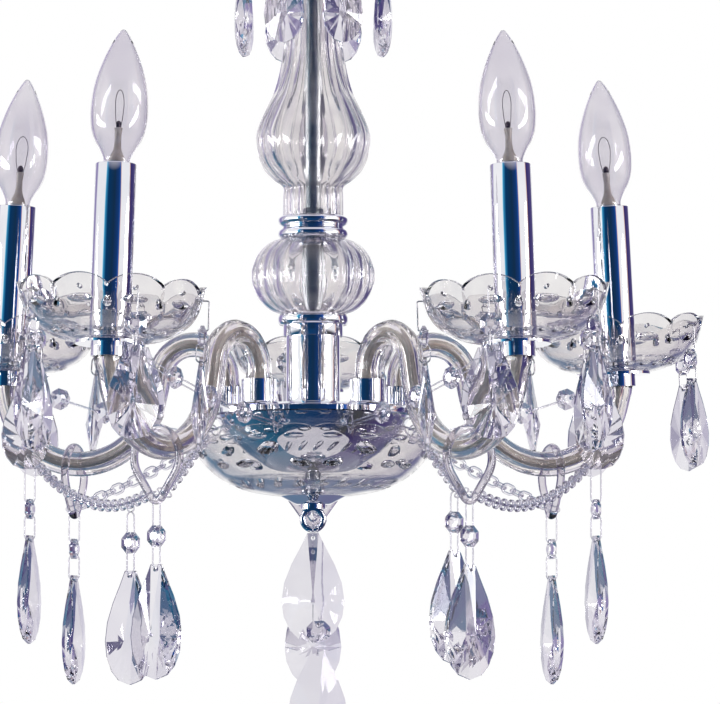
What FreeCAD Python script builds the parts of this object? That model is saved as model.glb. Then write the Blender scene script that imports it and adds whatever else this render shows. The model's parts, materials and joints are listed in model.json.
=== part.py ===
import FreeCAD, Part
import math
import os
import re

import Sketcher

# Five-arm crystal chandelier, in millimetres, +Z up. The origin is the centre of the ceiling plate's
# top face, so the whole light hangs below z = 0. Azimuths are counter-clockwise from +X.

# ---------------------------------------------------------------------------------------------
# Driving dimensions. Each is one cell of the sheet "Sizes", with its name as alias.
# ---------------------------------------------------------------------------------------------
DRIVING = {
    # clearances
    "running_gap": 0.3,          # between pieces that move, and between loose wires
    "slip_gap": 0.15,            # a rod in its hole, a tube over its seat
    # canopy and what hangs from it
    "canopy_radius": 62.5,
    "canopy_height": 32,
    "canopy_wall": 1.2,
    "canopy_foot_radius": 15,
    "crossbar_length": 96,
    "crossbar_width": 20,
    "crossbar_thickness": 2.5,
    "ceiling_hole_spacing": 70,
    "ceiling_hole_radius": 2.3,
    "stem_radius": 5,
    "stem_bore": 3,
    "nut_across_flats": 16,
    "nut_height": 5,
    "loop_collar_radius": 9,
    "loop_collar_height": 9,
    "loop_ring_radius": 9.5,
    "loop_wire_radius": 2.5,
    "chain_wire_radius": 2,
    "chain_link_width": 16,
    "chain_link_straight": 28,
    # stack of the column, heights measured from the hub plate's top face
    "rod_radius": 4.9,
    "rod_bore": 3,
    "column_radius": 17.25,
    "column_wall": 1.5,
    "column_height": 53.3,
    "column_foot_radius": 21,
    "column_foot_height": 4,
    "lower_collar_radius": 22.5,
    "lower_collar_height": 7,
    "lower_collar_step_radius": 19.2,
    "lower_collar_step_height": 7.3,
    "ball_radius": 39.5,
    "ball_end_radius": 20,
    "ball_height": 48.6,
    "ball_wall": 5,
    "ball_rib_count": 18,
    "ball_rib_depth": 2.2,
    "upper_collar_radius": 22.5,
    "upper_collar_neck_radius": 19.5,
    "upper_collar_height": 14,
    "vase_base_radius": 19.5,
    "vase_base_height": 19.4,
    "vase_belly_radius": 37,
    "vase_belly_height": 49.4,
    "vase_shoulder_radius": 26.5,
    "vase_shoulder_height": 78.4,
    "vase_neck_radius": 18,
    "vase_neck_height": 113.4,
    "vase_lip_radius": 23,
    "vase_height": 163,
    "vase_wall": 4.5,
    "vase_rib_count": 14,
    "vase_rib_depth": 2.4,
    # glass dish under the crown loop
    "crown_radius": 50,
    "crown_height": 22,
    "crown_seat_radius": 23.5,
    "crown_wall": 4,
    "lobe_crest_cut": 0.2,       # taken off the tops of all lobed rims
    "crown_scallop_count": 8,
    "crown_scallop_depth": 4,
    "crown_drop_count": 8,
    "top_cap_radius": 19,
    "top_cap_height": 15,
    # hub
    "hub_plate_radius": 70,
    "hub_plate_rise": 5,
    "hub_plate_wall": 2,
    "dish_radius": 77.5,
    "dish_rim_drop": 14,
    "dish_bottom_drop": 56,
    "dish_seat_radius": 22,
    "dish_wall": 5,
    "dish_scallop_count": 20,
    "dish_scallop_depth": 2.5,
    "dish_hole_count": 20,
    "bottom_cap_radius": 21,
    "bottom_cap_low_radius": 11,
    "bottom_cap_height": 5,
    "finial_ring_radius": 6.5,
    "finial_wire_radius": 2,
    "finial_neck_height": 3,
    # arms
    "arm_count": 5,
    "arm_first_azimuth": 234,
    "cup_circle_radius": 58,
    "cup_radius": 11,
    "cup_height": 15,
    "cup_wall": 1.2,
    "cup_floor": 2,
    "arm_tube_radius": 8,
    "arm_bore_radius": 3.2,
    "arm_collar_radius": 9.4,
    "arm_collar_length": 14,
    "arm_wire_radius": 2.4,
    "arch_radius": 23,
    "arch_centre_height": 20,
    "arch_slant": 12,
    "arm_reach": 209,
    "arm_dip": 32.5,
    "arm_rise": 4.6,
    "arm_lean": 3,
    # candle heads, heights measured along the leaning head from the arm's end
    "end_cap_radius": 21,
    "end_cap_height": 9,
    "end_cap_wall": 1.6,
    "eyelet_position": 17,
    "eyelet_turn": 54,
    "eyelet_radius": 2.6,
    "eyelet_wire_radius": 0.8,
    "bobeche_radius": 57.5,
    "bobeche_height": 35,
    "bobeche_seat_radius": 23.5,
    "bobeche_wall": 4,
    "bobeche_bore": 5.2,
    "bobeche_scallop_count": 10,
    "bobeche_scallop_depth": 6.5,
    "bobeche_drop_count": 5,
    "bobeche_hole_drop": 8.25,
    "sleeve_radius": 12.5,
    "sleeve_wall": 0.8,
    "sleeve_height": 104.5,
    "holder_radius": 11.2,
    "holder_height": 42,
    "holder_mouth": 7.4,
    "holder_depth": 26,
    "holder_stem_radius": 4.9,
    "bulb_radius": 17.5,
    "bulb_length": 83,
    "bulb_neck_radius": 8,
    "bulb_wall": 0.7,
    "bulb_cap_radius": 6.7,
    "bulb_cap_length": 24,
    "bulb_stem_radius": 3,
    "bulb_stem_height": 22,
    "bulb_lean": 1.5,
    # crystals and their wire
    "pin_radius": 0.45,
    "pin_hole": 1.35,
    "pin_reach": 3.5,
    "hole_inset": 3.2,
    "bead_radius": 7,
    "bead_table_radius": 3,
    "bead_thickness": 5.5,
    "large_drop_length": 70,
    "large_drop_width": 38,
    "large_drop_thickness": 13,
    "small_drop_length": 57,
    "small_drop_width": 32,
    "small_drop_thickness": 11,
    "centre_drop_width": 40,
    "crown_drop_length": 50,
    "crown_drop_width": 27,
    "girdle": 2,
    "string_wire_drop": 18,
    "bead_wire_drop": 16.5,
    "rim_hole_drop": 5,
    "rim_wire_drop": 18,
    "rim_short_wire_drop": 6,
    "rim_bead_wire_drop": 12,
    "rim_bead_offset": 2.5,
    "rim_short_bead_offset": 4.5,
    "crown_wire_drop": 8,
    # wishbone hangers under the arms, and the second hook
    "wishbone_position": 162,
    "wishbone_wire_radius": 2.6,
    "wishbone_half_width": 17.5,
    "wishbone_depth": 44,
    "wishbone_tip_radius": 5,
    "outer_hook_position": 186,
    "outer_hook_wire_radius": 1.1,
    "outer_hook_slack": 3,
    "outer_wire_drop": 23,
    "left_string_slide": 26,
    "right_string_slide": 25,
    "eye_radius": 2.2,
    "centre_string_drop": 59,
    "centre_string_back": 9,
    "centre_string_side": 3,
    # garlands
    "link_wire_radius": 0.9,
    "link_width": 7.8,
    "link_length": 10,
    "garland_ring_radius": 4.6,
    "garland_ring_wire_radius": 0.5,
    "garland_bead_count": 3,
    "garland_slack": 1.002,
    "side_chain_slack": 1.02,
    "dish_hook_drop": 6,
    "dish_ring_radius": 5.6,
    "leg_ring_low": 2.5,
    "hook_ring_angle": 75,
}

doc = FreeCAD.newDocument("CrystalChandelier")
sheet = doc.addObject("Spreadsheet::Sheet", "Sizes")
for row, (alias, number) in enumerate(DRIVING.items(), start=1):
    sheet.set("A%d" % row, alias)
    sheet.set("B%d" % row, str(number))
    sheet.setAlias("B%d" % row, alias)
doc.recompute()


class Sizes:
    """The sheet's numbers under their own names, for shapes that are set in code."""


S = Sizes()
for alias in DRIVING:
    setattr(S, alias, getattr(sheet, alias))

V = FreeCAD.Vector
UP = V(0, 0, 1)
EXPORTED = []


# ---------------------------------------------------------------------------------------------
# Levels, all from the stack of pieces. hub is the hub plate's top face.
# ---------------------------------------------------------------------------------------------
LINK_HALF = (S.chain_link_straight + S.chain_link_width) / 2 - S.chain_wire_radius
LINK_PITCH = 2 * LINK_HALF - 2 * S.chain_wire_radius - S.running_gap
HANG = S.loop_wire_radius + S.chain_wire_radius + S.running_gap
CHAIN_COUNT = 3

canopy_ring_z = -S.canopy_height - S.loop_collar_height - S.loop_ring_radius
sway_top_z = canopy_ring_z - S.loop_ring_radius
first_link_z = sway_top_z + HANG - LINK_HALF
last_link_z = first_link_z - (CHAIN_COUNT - 1) * LINK_PITCH
sway_low_z = last_link_z - LINK_HALF
top_ring_z = sway_low_z + HANG - S.loop_ring_radius
top_loop_foot_z = top_ring_z - S.loop_ring_radius - S.loop_collar_height
top_cap_z = top_loop_foot_z - S.top_cap_height
crown_seat_z = top_cap_z - S.crown_wall
vase_z = crown_seat_z - S.vase_height
upper_collar_z = vase_z - S.upper_collar_height
ball_z = upper_collar_z - S.ball_height
lower_collar_z = ball_z - S.lower_collar_height
hub_z = lower_collar_z - S.column_height
dish_bottom_z = hub_z - S.dish_bottom_drop
bottom_cap_z = dish_bottom_z - S.bottom_cap_height
finial_ring_z = bottom_cap_z - S.finial_neck_height - S.finial_ring_radius


# ---------------------------------------------------------------------------------------------
# Helpers
# ---------------------------------------------------------------------------------------------
def bound(text):
    """Formula text with each cell's alias written as a reference to the sheet."""
    if not isinstance(text, str):
        return repr(float(text))
    return re.sub(r"[a-z][a-z_]+", lambda m: "Sizes." + m.group(0) if m.group(0) in DRIVING else m.group(0), text)


def pin_point(sketch, across, height):
    """Add a construction point whose two coordinates are formulas over the sheet."""
    point = sketch.addGeometry(Part.Point(V(1 + sketch.GeometryCount, 1, 0)), True)
    for kind, formula in (("DistanceX", across), ("DistanceY", height)):
        index = sketch.addConstraint(Sketcher.Constraint(kind, -1, 1, point, 1, 1.0))
        sketch.setExpression("Constraints[%d]" % index, bound(formula))
    return point


def join(sketch, edge, end, point):
    """Tie one end of an edge to a construction point."""
    sketch.addConstraint(Sketcher.Constraint("Coincident", edge, end, point, 1))


def outline(body, name, steps, closed=True):
    """Sketch on the body's XZ plane. steps are (across, height) for a line's end, or
    (across, height, across, height) for an arc's middle and end; the first is the start."""
    sketch = body.newObject("Sketcher::SketchObject", name)
    plane = next(item for item in body.Origin.OriginFeatures if item.Role == "XZ_Plane")
    sketch.AttachmentSupport = [(plane, "")]
    sketch.MapMode = "FlatFace"
    corners = [pin_point(sketch, *step[-2:]) for step in steps]
    middles = [pin_point(sketch, *step[:2]) if len(step) == 4 else None for step in steps]
    sketch.recompute()
    spot = [V(item.X, item.Y, 0) for item in sketch.Geometry]
    pairs = list(zip(corners, corners[1:], middles[1:]))
    if closed:
        pairs.append((corners[-1], corners[0], None))
    for start, end, middle in pairs:
        if middle is None:
            edge = sketch.addGeometry(Part.LineSegment(spot[start], spot[end]), False)
            ends = (1, 2)
        else:
            arc = Part.Arc(spot[start], spot[middle], spot[end])
            edge = sketch.addGeometry(arc, False)
            forward = sketch.getPoint(edge, 1).distanceToPoint(spot[start]) < 1e-4
            ends = (1, 2) if forward else (2, 1)
            sketch.addConstraint(Sketcher.Constraint("PointOnObject", middle, 1, edge))
        join(sketch, edge, ends[0], start)
        join(sketch, edge, ends[1], end)
    return sketch


def new_body(label):
    """Empty body with its own label."""
    body = doc.addObject("PartDesign::Body", label)
    body.Label = label
    return body


def turned(body, steps, cut=False):
    """Revolve an outline about the body's own Z axis."""
    sketch = outline(body, body.Label + "_outline", steps)
    kind = "PartDesign::Groove" if cut else "PartDesign::Revolution"
    feature = body.newObject(kind, body.Label + "_turned")
    feature.Profile = sketch
    feature.ReferenceAxis = (sketch, ["V_Axis"])
    feature.Angle = 360
    return feature


def lathe(label, steps, place):
    """Exported body made by turning one outline."""
    body = new_body(label)
    turned(body, steps)
    return export(body, place)


def export(item, place=None):
    """Give a finished object its placement and list it for writing."""
    if place is not None:
        item.Placement = place
    EXPORTED.append(item)
    return item


def feature(label, shapes, place=None):
    """Part::Feature that holds one solid or a group of separate solids."""
    item = doc.addObject("Part::Feature", label)
    item.Label = label
    item.Shape = shapes[0] if len(shapes) == 1 else Part.makeCompound(shapes)
    return export(item, place)


def at_height(z):
    """Placement on the column's axis at a level."""
    return FreeCAD.Placement(V(0, 0, z), FreeCAD.Rotation())


def axes(origin, x, z):
    """Placement with its own X and Z directions (made square to each other)."""
    z = V(z).normalize()
    x = V(x) - z * V(x).dot(z)
    x.normalize()
    return FreeCAD.Placement(origin, FreeCAD.Rotation(x, z.cross(x), z, "ZXY"))


def placed(shape, place):
    """Copy of a shape at a placement."""
    copy = shape.copy()
    copy.Placement = place.multiply(copy.Placement)
    return copy


def polar(radius, azimuth, z=0):
    """Point at a radius and azimuth."""
    angle = math.radians(azimuth)
    return V(radius * math.cos(angle), radius * math.sin(angle), z)


def faceted(faces):
    """Closed solid from lists of corner points, one list per flat facet."""
    flat = [Part.Face(Part.makePolygon(list(points) + [points[0]])) for points in faces]
    solid = Part.Solid(Part.Shell(flat))
    if solid.Volume < 0:
        solid.reverse()
    return solid


def bent_rod(points, bend, radius):
    """Round rod along straight runs joined by tangent arcs of one bend radius."""
    edges = []
    last = points[0]
    for before, corner, after in zip(points, points[1:], points[2:]):
        back = (before - corner).normalize()
        on = (after - corner).normalize()
        half = back.getAngle(on) / 2
        leg = bend / math.tan(half)
        middle = corner + (back + on).normalize() * (bend / math.sin(half) - bend)
        start = corner + back * leg
        end = corner + on * leg
        if last.distanceToPoint(start) > 1e-6:
            edges.append(Part.LineSegment(last, start).toShape())
        edges.append(Part.Arc(start, middle, end).toShape())
        last = end
    edges.append(Part.LineSegment(last, points[-1]).toShape())
    return swept(Part.Wire(edges), points[0], points[1] - points[0], radius)


def swept(path, start, direction, radius):
    """Round solid swept along a path wire."""
    ring = Part.Wire(Part.Circle(start, direction, radius).toShape())
    return Part.Wire(path).makePipeShell([ring], True, False)


def oval(half_width, half_length, radius):
    """Closed oval wire loop in the XZ plane, long along Z, sizes to the wire's centre."""
    straight = 2 * (half_length - half_width)
    top = V(0, 0, straight / 2)
    axis = V(0, 1, 0)
    upper = Part.makeTorus(half_width, radius, V(), UP, 0, 360, 180)
    upper.rotate(V(), V(1, 0, 0), 90)
    lower = upper.copy()
    lower.rotate(V(), axis, 180)
    if straight < 1e-6:
        return upper.fuse(lower).removeSplitter()
    upper.translate(top)
    lower.translate(-top)
    sides = [Part.makeCylinder(radius, straight, V(side * half_width, 0, -straight / 2)) for side in (-1, 1)]
    return upper.multiFuse([lower] + sides).removeSplitter()


def hex_nut(across, height, bore):
    """Hexagon nut standing on z = 0."""
    corners = [polar(across / math.sqrt(3), 60 * step) for step in range(7)]
    blank = Part.Face(Part.makePolygon(corners)).extrude(V(0, 0, height))
    return blank.cut(Part.makeCylinder(bore, height))


def fluted(levels, count):
    """Solid through ribbed sections. levels are (z, radius, rib depth)."""
    sections = []
    for z, radius, depth in levels:
        arcs = []
        for rib in range(count):
            low = polar(radius - depth, 360 * rib / count, z)
            high = polar(radius, 360 * (rib + 0.5) / count, z)
            end = polar(radius - depth, 360 * (rib + 1) / count, z)
            arcs.append(Part.Arc(low, high, end).toShape())
        sections.append(Part.Wire(arcs))
    return Part.makeLoft(sections, True)


# ---------------------------------------------------------------------------------------------
# Ceiling fitting and chain
# ---------------------------------------------------------------------------------------------
def ceiling_fitting():
    """Canopy, crossbar, threaded loop with its stem, and the nut that locks it."""
    lathe("ceiling_canopy", [
        ("canopy_radius", "0"),
        ("canopy_radius", "-5"),
        ("canopy_radius * 0.83", "-canopy_height * 0.62", "canopy_foot_radius", "-canopy_height + 2"),
        ("canopy_foot_radius", "-canopy_height"),
        ("stem_radius + slip_gap", "-canopy_height"),
        ("stem_radius + slip_gap", "-canopy_height + canopy_wall + 2"),
        ("canopy_foot_radius - 1", "-canopy_height + canopy_wall + 2"),
        ("canopy_radius * 0.83 - canopy_wall", "-canopy_height * 0.62 + canopy_wall",
         "canopy_radius - canopy_wall", "-5"),
        ("canopy_radius - canopy_wall", "0"),
    ], at_height(0))

    bar = doc.addObject("Part::Box", "crossbar_blank")
    bar.setExpression("Length", "Sizes.crossbar_length")
    bar.setExpression("Width", "Sizes.crossbar_width")
    bar.setExpression("Height", "Sizes.crossbar_thickness")
    bar.Placement = FreeCAD.Placement(
        V(-S.crossbar_length / 2, -S.crossbar_width / 2, -S.crossbar_thickness), FreeCAD.Rotation())
    drills = []
    for name, x, radius in (
        ("crossbar_hole_left", -S.ceiling_hole_spacing / 2, "Sizes.ceiling_hole_radius"),
        ("crossbar_hole_middle", 0, "Sizes.stem_radius + Sizes.slip_gap"),
        ("crossbar_hole_right", S.ceiling_hole_spacing / 2, "Sizes.ceiling_hole_radius"),
    ):
        drill = doc.addObject("Part::Cylinder", name)
        drill.setExpression("Radius", radius)
        drill.setExpression("Height", "Sizes.crossbar_thickness * 2")
        drill.Placement = FreeCAD.Placement(V(x, 0, -1.5 * S.crossbar_thickness), FreeCAD.Rotation())
        drills.append(drill)
    holes = doc.addObject("Part::MultiFuse", "crossbar_holes")
    holes.Shapes = drills
    crossbar = doc.addObject("Part::Cut", "canopy_crossbar")
    crossbar.Label = "canopy_crossbar"
    crossbar.Base = bar
    crossbar.Tool = holes
    export(crossbar)

    collar = Part.makeCylinder(
        S.loop_collar_radius, S.loop_collar_height, V(0, 0, -S.canopy_height - S.loop_collar_height))
    stem = Part.makeCylinder(S.stem_radius, S.canopy_height, V(0, 0, -S.canopy_height))
    ring = Part.makeTorus(S.loop_ring_radius, S.loop_wire_radius, V(0, 0, canopy_ring_z), V(0, 1, 0))
    bore_low = -S.canopy_height - S.loop_collar_height / 2
    bore = Part.makeCylinder(S.stem_bore, -bore_low, V(0, 0, bore_low))
    feature("canopy_loop", [collar.multiFuse([stem, ring]).cut(bore)])

    nut = hex_nut(S.nut_across_flats, S.nut_height, S.stem_radius + S.slip_gap)
    feature("stem_nut", [nut], at_height(-S.crossbar_thickness - S.nut_height))


def hanging_chain():
    """Three welded links, each turned a quarter turn from the one above."""
    link = oval(S.chain_link_width / 2, LINK_HALF, S.chain_wire_radius)
    links = []
    for index in range(CHAIN_COUNT):
        turn = FreeCAD.Rotation(UP, 90 if index % 2 == 0 else 0)
        links.append(placed(link, FreeCAD.Placement(V(0, 0, first_link_z - index * LINK_PITCH), turn)))
    feature("hanging_chain", links)


# ---------------------------------------------------------------------------------------------
# Column
# ---------------------------------------------------------------------------------------------
def column():
    """Top loop down to the bottom cap, every piece threaded on one steel rod."""
    collar = Part.makeCylinder(S.loop_collar_radius, S.loop_collar_height, V(0, 0, top_loop_foot_z))
    ring = Part.makeTorus(S.loop_ring_radius, S.loop_wire_radius, V(0, 0, top_ring_z), V(0, 1, 0))
    socket = Part.makeCylinder(S.rod_radius + S.slip_gap, S.loop_collar_height * 0.6, V(0, 0, top_loop_foot_z))
    feature("top_loop", [collar.fuse(ring).cut(socket)])

    rod_low = bottom_cap_z + S.bottom_cap_height * 0.3
    rod_top = top_loop_foot_z + S.loop_collar_height * 0.5
    lathe("center_rod", [
        ("rod_bore", "0"),
        ("rod_radius", "0"),
        ("rod_radius", rod_top - rod_low),
        ("rod_bore", rod_top - rod_low),
    ], at_height(rod_low))

    nut = hex_nut(S.nut_across_flats, S.nut_height, S.rod_radius + S.slip_gap)
    plate_under = hub_z - S.hub_plate_wall - S.nut_height
    feature("rod_nuts", [placed(nut, at_height(z)) for z in (plate_under, vase_z)])

    lathe("top_cap", [
        ("rod_radius + slip_gap", "0"),
        ("top_cap_radius", "0"),
        ("top_cap_radius", "2"),
        ("top_cap_radius * 0.78", "top_cap_height * 0.62", "loop_collar_radius", "top_cap_height"),
        ("rod_radius + slip_gap", "top_cap_height"),
    ], at_height(top_cap_z))

    lathe("upper_collar", [
        ("rod_radius + slip_gap", "0"),
        ("upper_collar_radius - 1.5", "0"),
        ("upper_collar_radius", "upper_collar_height * 0.2", "upper_collar_radius - 1.5",
         "upper_collar_height * 0.4"),
        ("upper_collar_neck_radius", "upper_collar_height * 0.5"),
        ("upper_collar_radius - 1.5", "upper_collar_height * 0.6"),
        ("upper_collar_radius", "upper_collar_height * 0.8", "upper_collar_radius - 1.5",
         "upper_collar_height"),
        ("rod_radius + slip_gap", "upper_collar_height"),
    ], at_height(upper_collar_z))

    lathe("lower_collar", [
        ("rod_radius + slip_gap", "0"),
        ("column_radius + slip_gap", "0"),
        ("column_radius + slip_gap", "-lower_collar_step_height"),
        ("lower_collar_step_radius", "-lower_collar_step_height"),
        ("lower_collar_step_radius", "0"),
        ("lower_collar_radius - 1.5", "0"),
        ("lower_collar_radius", "lower_collar_height * 0.5", "lower_collar_radius - 1.5",
         "lower_collar_height"),
        ("rod_radius + slip_gap", "lower_collar_height"),
    ], at_height(lower_collar_z))

    lathe("hub_column", [
        ("column_radius - column_wall", "0"),
        ("column_foot_radius", "0"),
        ("column_radius + 1", "column_foot_height * 0.4", "column_radius", "column_foot_height"),
        ("column_radius", "column_height"),
        ("column_radius - column_wall", "column_height"),
    ], at_height(hub_z))


def glass_column_pieces():
    """Ribbed ball and ribbed vase, both hollow, and the small crown dish."""
    half = S.ball_height / 2
    bulge = S.ball_radius - S.ball_end_radius
    levels = []
    for step in range(9):
        height = S.ball_height * step / 8
        swell = math.sqrt(max(0.0, 1 - ((height - half) / half) ** 2))
        levels.append((height, S.ball_end_radius + bulge * swell ** 0.8, S.ball_rib_depth * swell))
    levels[0] = (0, S.ball_end_radius, 0.05)
    levels[-1] = (S.ball_height, S.ball_end_radius, 0.05)
    ball = fluted(levels, int(S.ball_rib_count)).common(Part.makeCylinder(S.ball_radius + 1, S.ball_height))
    mouth = S.rod_radius + 2
    inside = Part.makeSphere(1)
    scale = FreeCAD.Matrix()
    scale.scale(S.ball_radius - S.ball_wall - 2, S.ball_radius - S.ball_wall - 2, half - S.ball_wall)
    inside = inside.transformGeometry(scale)
    inside.translate(V(0, 0, half))
    feature("glass_ball", [ball.cut(inside.fuse(Part.makeCylinder(mouth, S.ball_height)))], at_height(ball_z))

    belly = S.vase_belly_height
    profile = [
        (0, S.vase_base_radius, 0.05),
        (S.vase_base_height, S.vase_base_radius, 0.1),
        (S.vase_base_height + 8, S.vase_base_radius + 9, S.vase_rib_depth * 0.6),
        (belly - 12, S.vase_belly_radius - 1.5, S.vase_rib_depth),
        (belly, S.vase_belly_radius, S.vase_rib_depth),
        (belly + 12, S.vase_belly_radius - 3, S.vase_rib_depth),
        (S.vase_shoulder_height, S.vase_shoulder_radius, S.vase_rib_depth * 0.7),
        (S.vase_neck_height - 18, S.vase_neck_radius + 2.4, S.vase_rib_depth * 0.5),
        (S.vase_neck_height, S.vase_neck_radius, S.vase_rib_depth * 0.4),
        (S.vase_height - 20, S.vase_neck_radius + 2.4, S.vase_rib_depth * 0.4),
        (S.vase_height, S.vase_lip_radius, 0.1),
    ]
    vase = fluted(profile, int(S.vase_rib_count))
    hollow = [V(r - d - S.vase_wall, 0, z) for z, r, d in profile]
    hollow[0].z -= 1
    hollow[-1].z += 1
    edge = Part.makePolygon([V(0, 0, hollow[0].z)] + hollow + [V(0, 0, hollow[-1].z)])
    lining = Part.Face(Part.Wire(edge.Edges + [Part.makeLine(V(0, 0, hollow[-1].z), V(0, 0, hollow[0].z))]))
    feature("glass_vase", [vase.cut(lining.revolve(V(), UP, 360))], at_height(vase_z))

    crown = new_body("crown_dish")
    turned(crown, [
        ("rod_radius + slip_gap", "0"),
        ("crown_seat_radius", "0"),
        ("crown_radius * 0.82", "crown_height * 0.28", "crown_radius", "crown_height"),
        ("crown_radius - crown_wall", "crown_height"),
        ("crown_radius * 0.80 - crown_wall", "crown_height * 0.32 + crown_wall * 0.6",
         "crown_seat_radius", "crown_wall"),
        ("rod_radius + slip_gap", "crown_wall"),
    ])
    scallops(crown, S.crown_radius, S.crown_height, "crown_scallop_count", S.crown_scallop_depth)
    rim_holes(crown, S.crown_radius, S.crown_height - S.rim_hole_drop, "crown_drop_count", crown_drop_azimuth(0))
    export(crown, at_height(crown_seat_z))


def upright_sketch(body, name, azimuth):
    """Empty sketch on an upright plane through the axis, ready to be cut outwards through a wall."""
    sketch = body.newObject("Sketcher::SketchObject", name)
    plane = next(item for item in body.Origin.OriginFeatures if item.Role == "YZ_Plane")
    sketch.AttachmentSupport = [(plane, "")]
    sketch.MapMode = "FlatFace"
    sketch.AttachmentOffset = FreeCAD.Placement(V(), FreeCAD.Rotation(V(0, 1, 0), azimuth))
    return sketch


def wall_sketch(body, name, azimuth, height, radius):
    """Circle on an upright plane through the axis."""
    sketch = upright_sketch(body, name, azimuth)
    circle = sketch.addGeometry(Part.Circle(V(0, float(height), 0), UP, float(radius)), False)
    sketch.addConstraint(Sketcher.Constraint("PointOnObject", circle, 3, -2))
    sketch.addConstraint(Sketcher.Constraint("DistanceY", -1, 1, circle, 3, float(height)))
    sketch.addConstraint(Sketcher.Constraint("Radius", circle, float(radius)))
    return sketch


def cut_outwards(body, sketch, length, count=None):
    """Pocket that starts at the axis and runs outwards, repeated round the axis if a count is given."""
    pocket = body.newObject("PartDesign::Pocket", sketch.Name + "_cut")
    pocket.Profile = sketch
    pocket.Type = "Length"
    pocket.Length = length
    pocket.Reversed = True
    if count is not None:
        repeat(body, pocket, count)


def scallops(body, radius, height, count, depth):
    """Glass rim cut into round lobes that meet in sharp valleys. One cut runs from the top of a lobe
    down into the valley and up to the next lobe's top."""
    half = radius * math.sin(math.pi / getattr(S, count))
    top = height + S.lobe_crest_cut
    fall = depth + S.lobe_crest_cut
    lobe = (half ** 2 + fall ** 2) / (2 * fall)
    valley = math.asin((lobe - fall) / lobe)
    sketch = upright_sketch(body, body.Label + "_lobes", 0)
    left = sketch.addGeometry(Part.ArcOfCircle(Part.Circle(V(-half, top - lobe, 0), UP, lobe), valley, math.pi / 2))
    right = sketch.addGeometry(
        Part.ArcOfCircle(Part.Circle(V(half, top - lobe, 0), UP, lobe), math.pi / 2, math.pi - valley))
    corners = [V(half, top, 0), V(half, top + depth, 0), V(-half, top + depth, 0), V(-half, top, 0)]
    sides = [sketch.addGeometry(Part.LineSegment(a, b)) for a, b in zip(corners, corners[1:])]
    ends = [(left, 1), (right, 2), (right, 1), (sides[0], 1), (sides[0], 2), (sides[1], 1), (sides[1], 2),
            (sides[2], 1), (sides[2], 2), (left, 2)]
    for one, two in zip(ends[::2], ends[1::2]):
        sketch.addConstraint(Sketcher.Constraint("Coincident", *one, *two))
    for item, kind in zip(sides, ("Vertical", "Horizontal", "Vertical")):
        sketch.addConstraint(Sketcher.Constraint(kind, item))
    sketch.addConstraint(Sketcher.Constraint("PointOnObject", left, 1, -2))
    sketch.addConstraint(Sketcher.Constraint("Symmetric", left, 2, right, 1, -2))
    sketch.addConstraint(Sketcher.Constraint("DistanceY", -1, 1, left, 1, float(height - depth)))
    sketch.addConstraint(Sketcher.Constraint("DistanceX", -1, 1, right, 1, float(half)))
    sketch.addConstraint(Sketcher.Constraint("DistanceY", -1, 1, right, 1, float(top)))
    sketch.addConstraint(Sketcher.Constraint("DistanceY", -1, 1, sides[0], 2, float(top + depth)))
    sketch.addConstraint(Sketcher.Constraint("Radius", left, float(lobe)))
    sketch.addConstraint(Sketcher.Constraint("Equal", left, right))
    cut_outwards(body, sketch, radius * 1.2, count)


def rim_holes(body, radius, height, count, azimuth):
    """Small drilled holes through a glass wall, spaced evenly, for the hanging pins."""
    sketch = wall_sketch(body, body.Label + "_drill", azimuth, height, S.pin_hole)
    sketch.setExpression("Constraints[2]", "Sizes.pin_hole")
    cut_outwards(body, sketch, radius * 1.2, count)


def repeat(body, source, count):
    """Polar pattern of one feature about the body's Z axis."""
    pattern = body.newObject("PartDesign::PolarPattern", source.Name + "_ring")
    pattern.Originals = [source]
    axis = next(item for item in body.Origin.OriginFeatures if item.Role == "Z_Axis")
    pattern.Axis = (axis, [""])
    pattern.Angle = 360
    pattern.setExpression("Occurrences", "Sizes." + count)
    body.Tip = pattern


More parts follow.
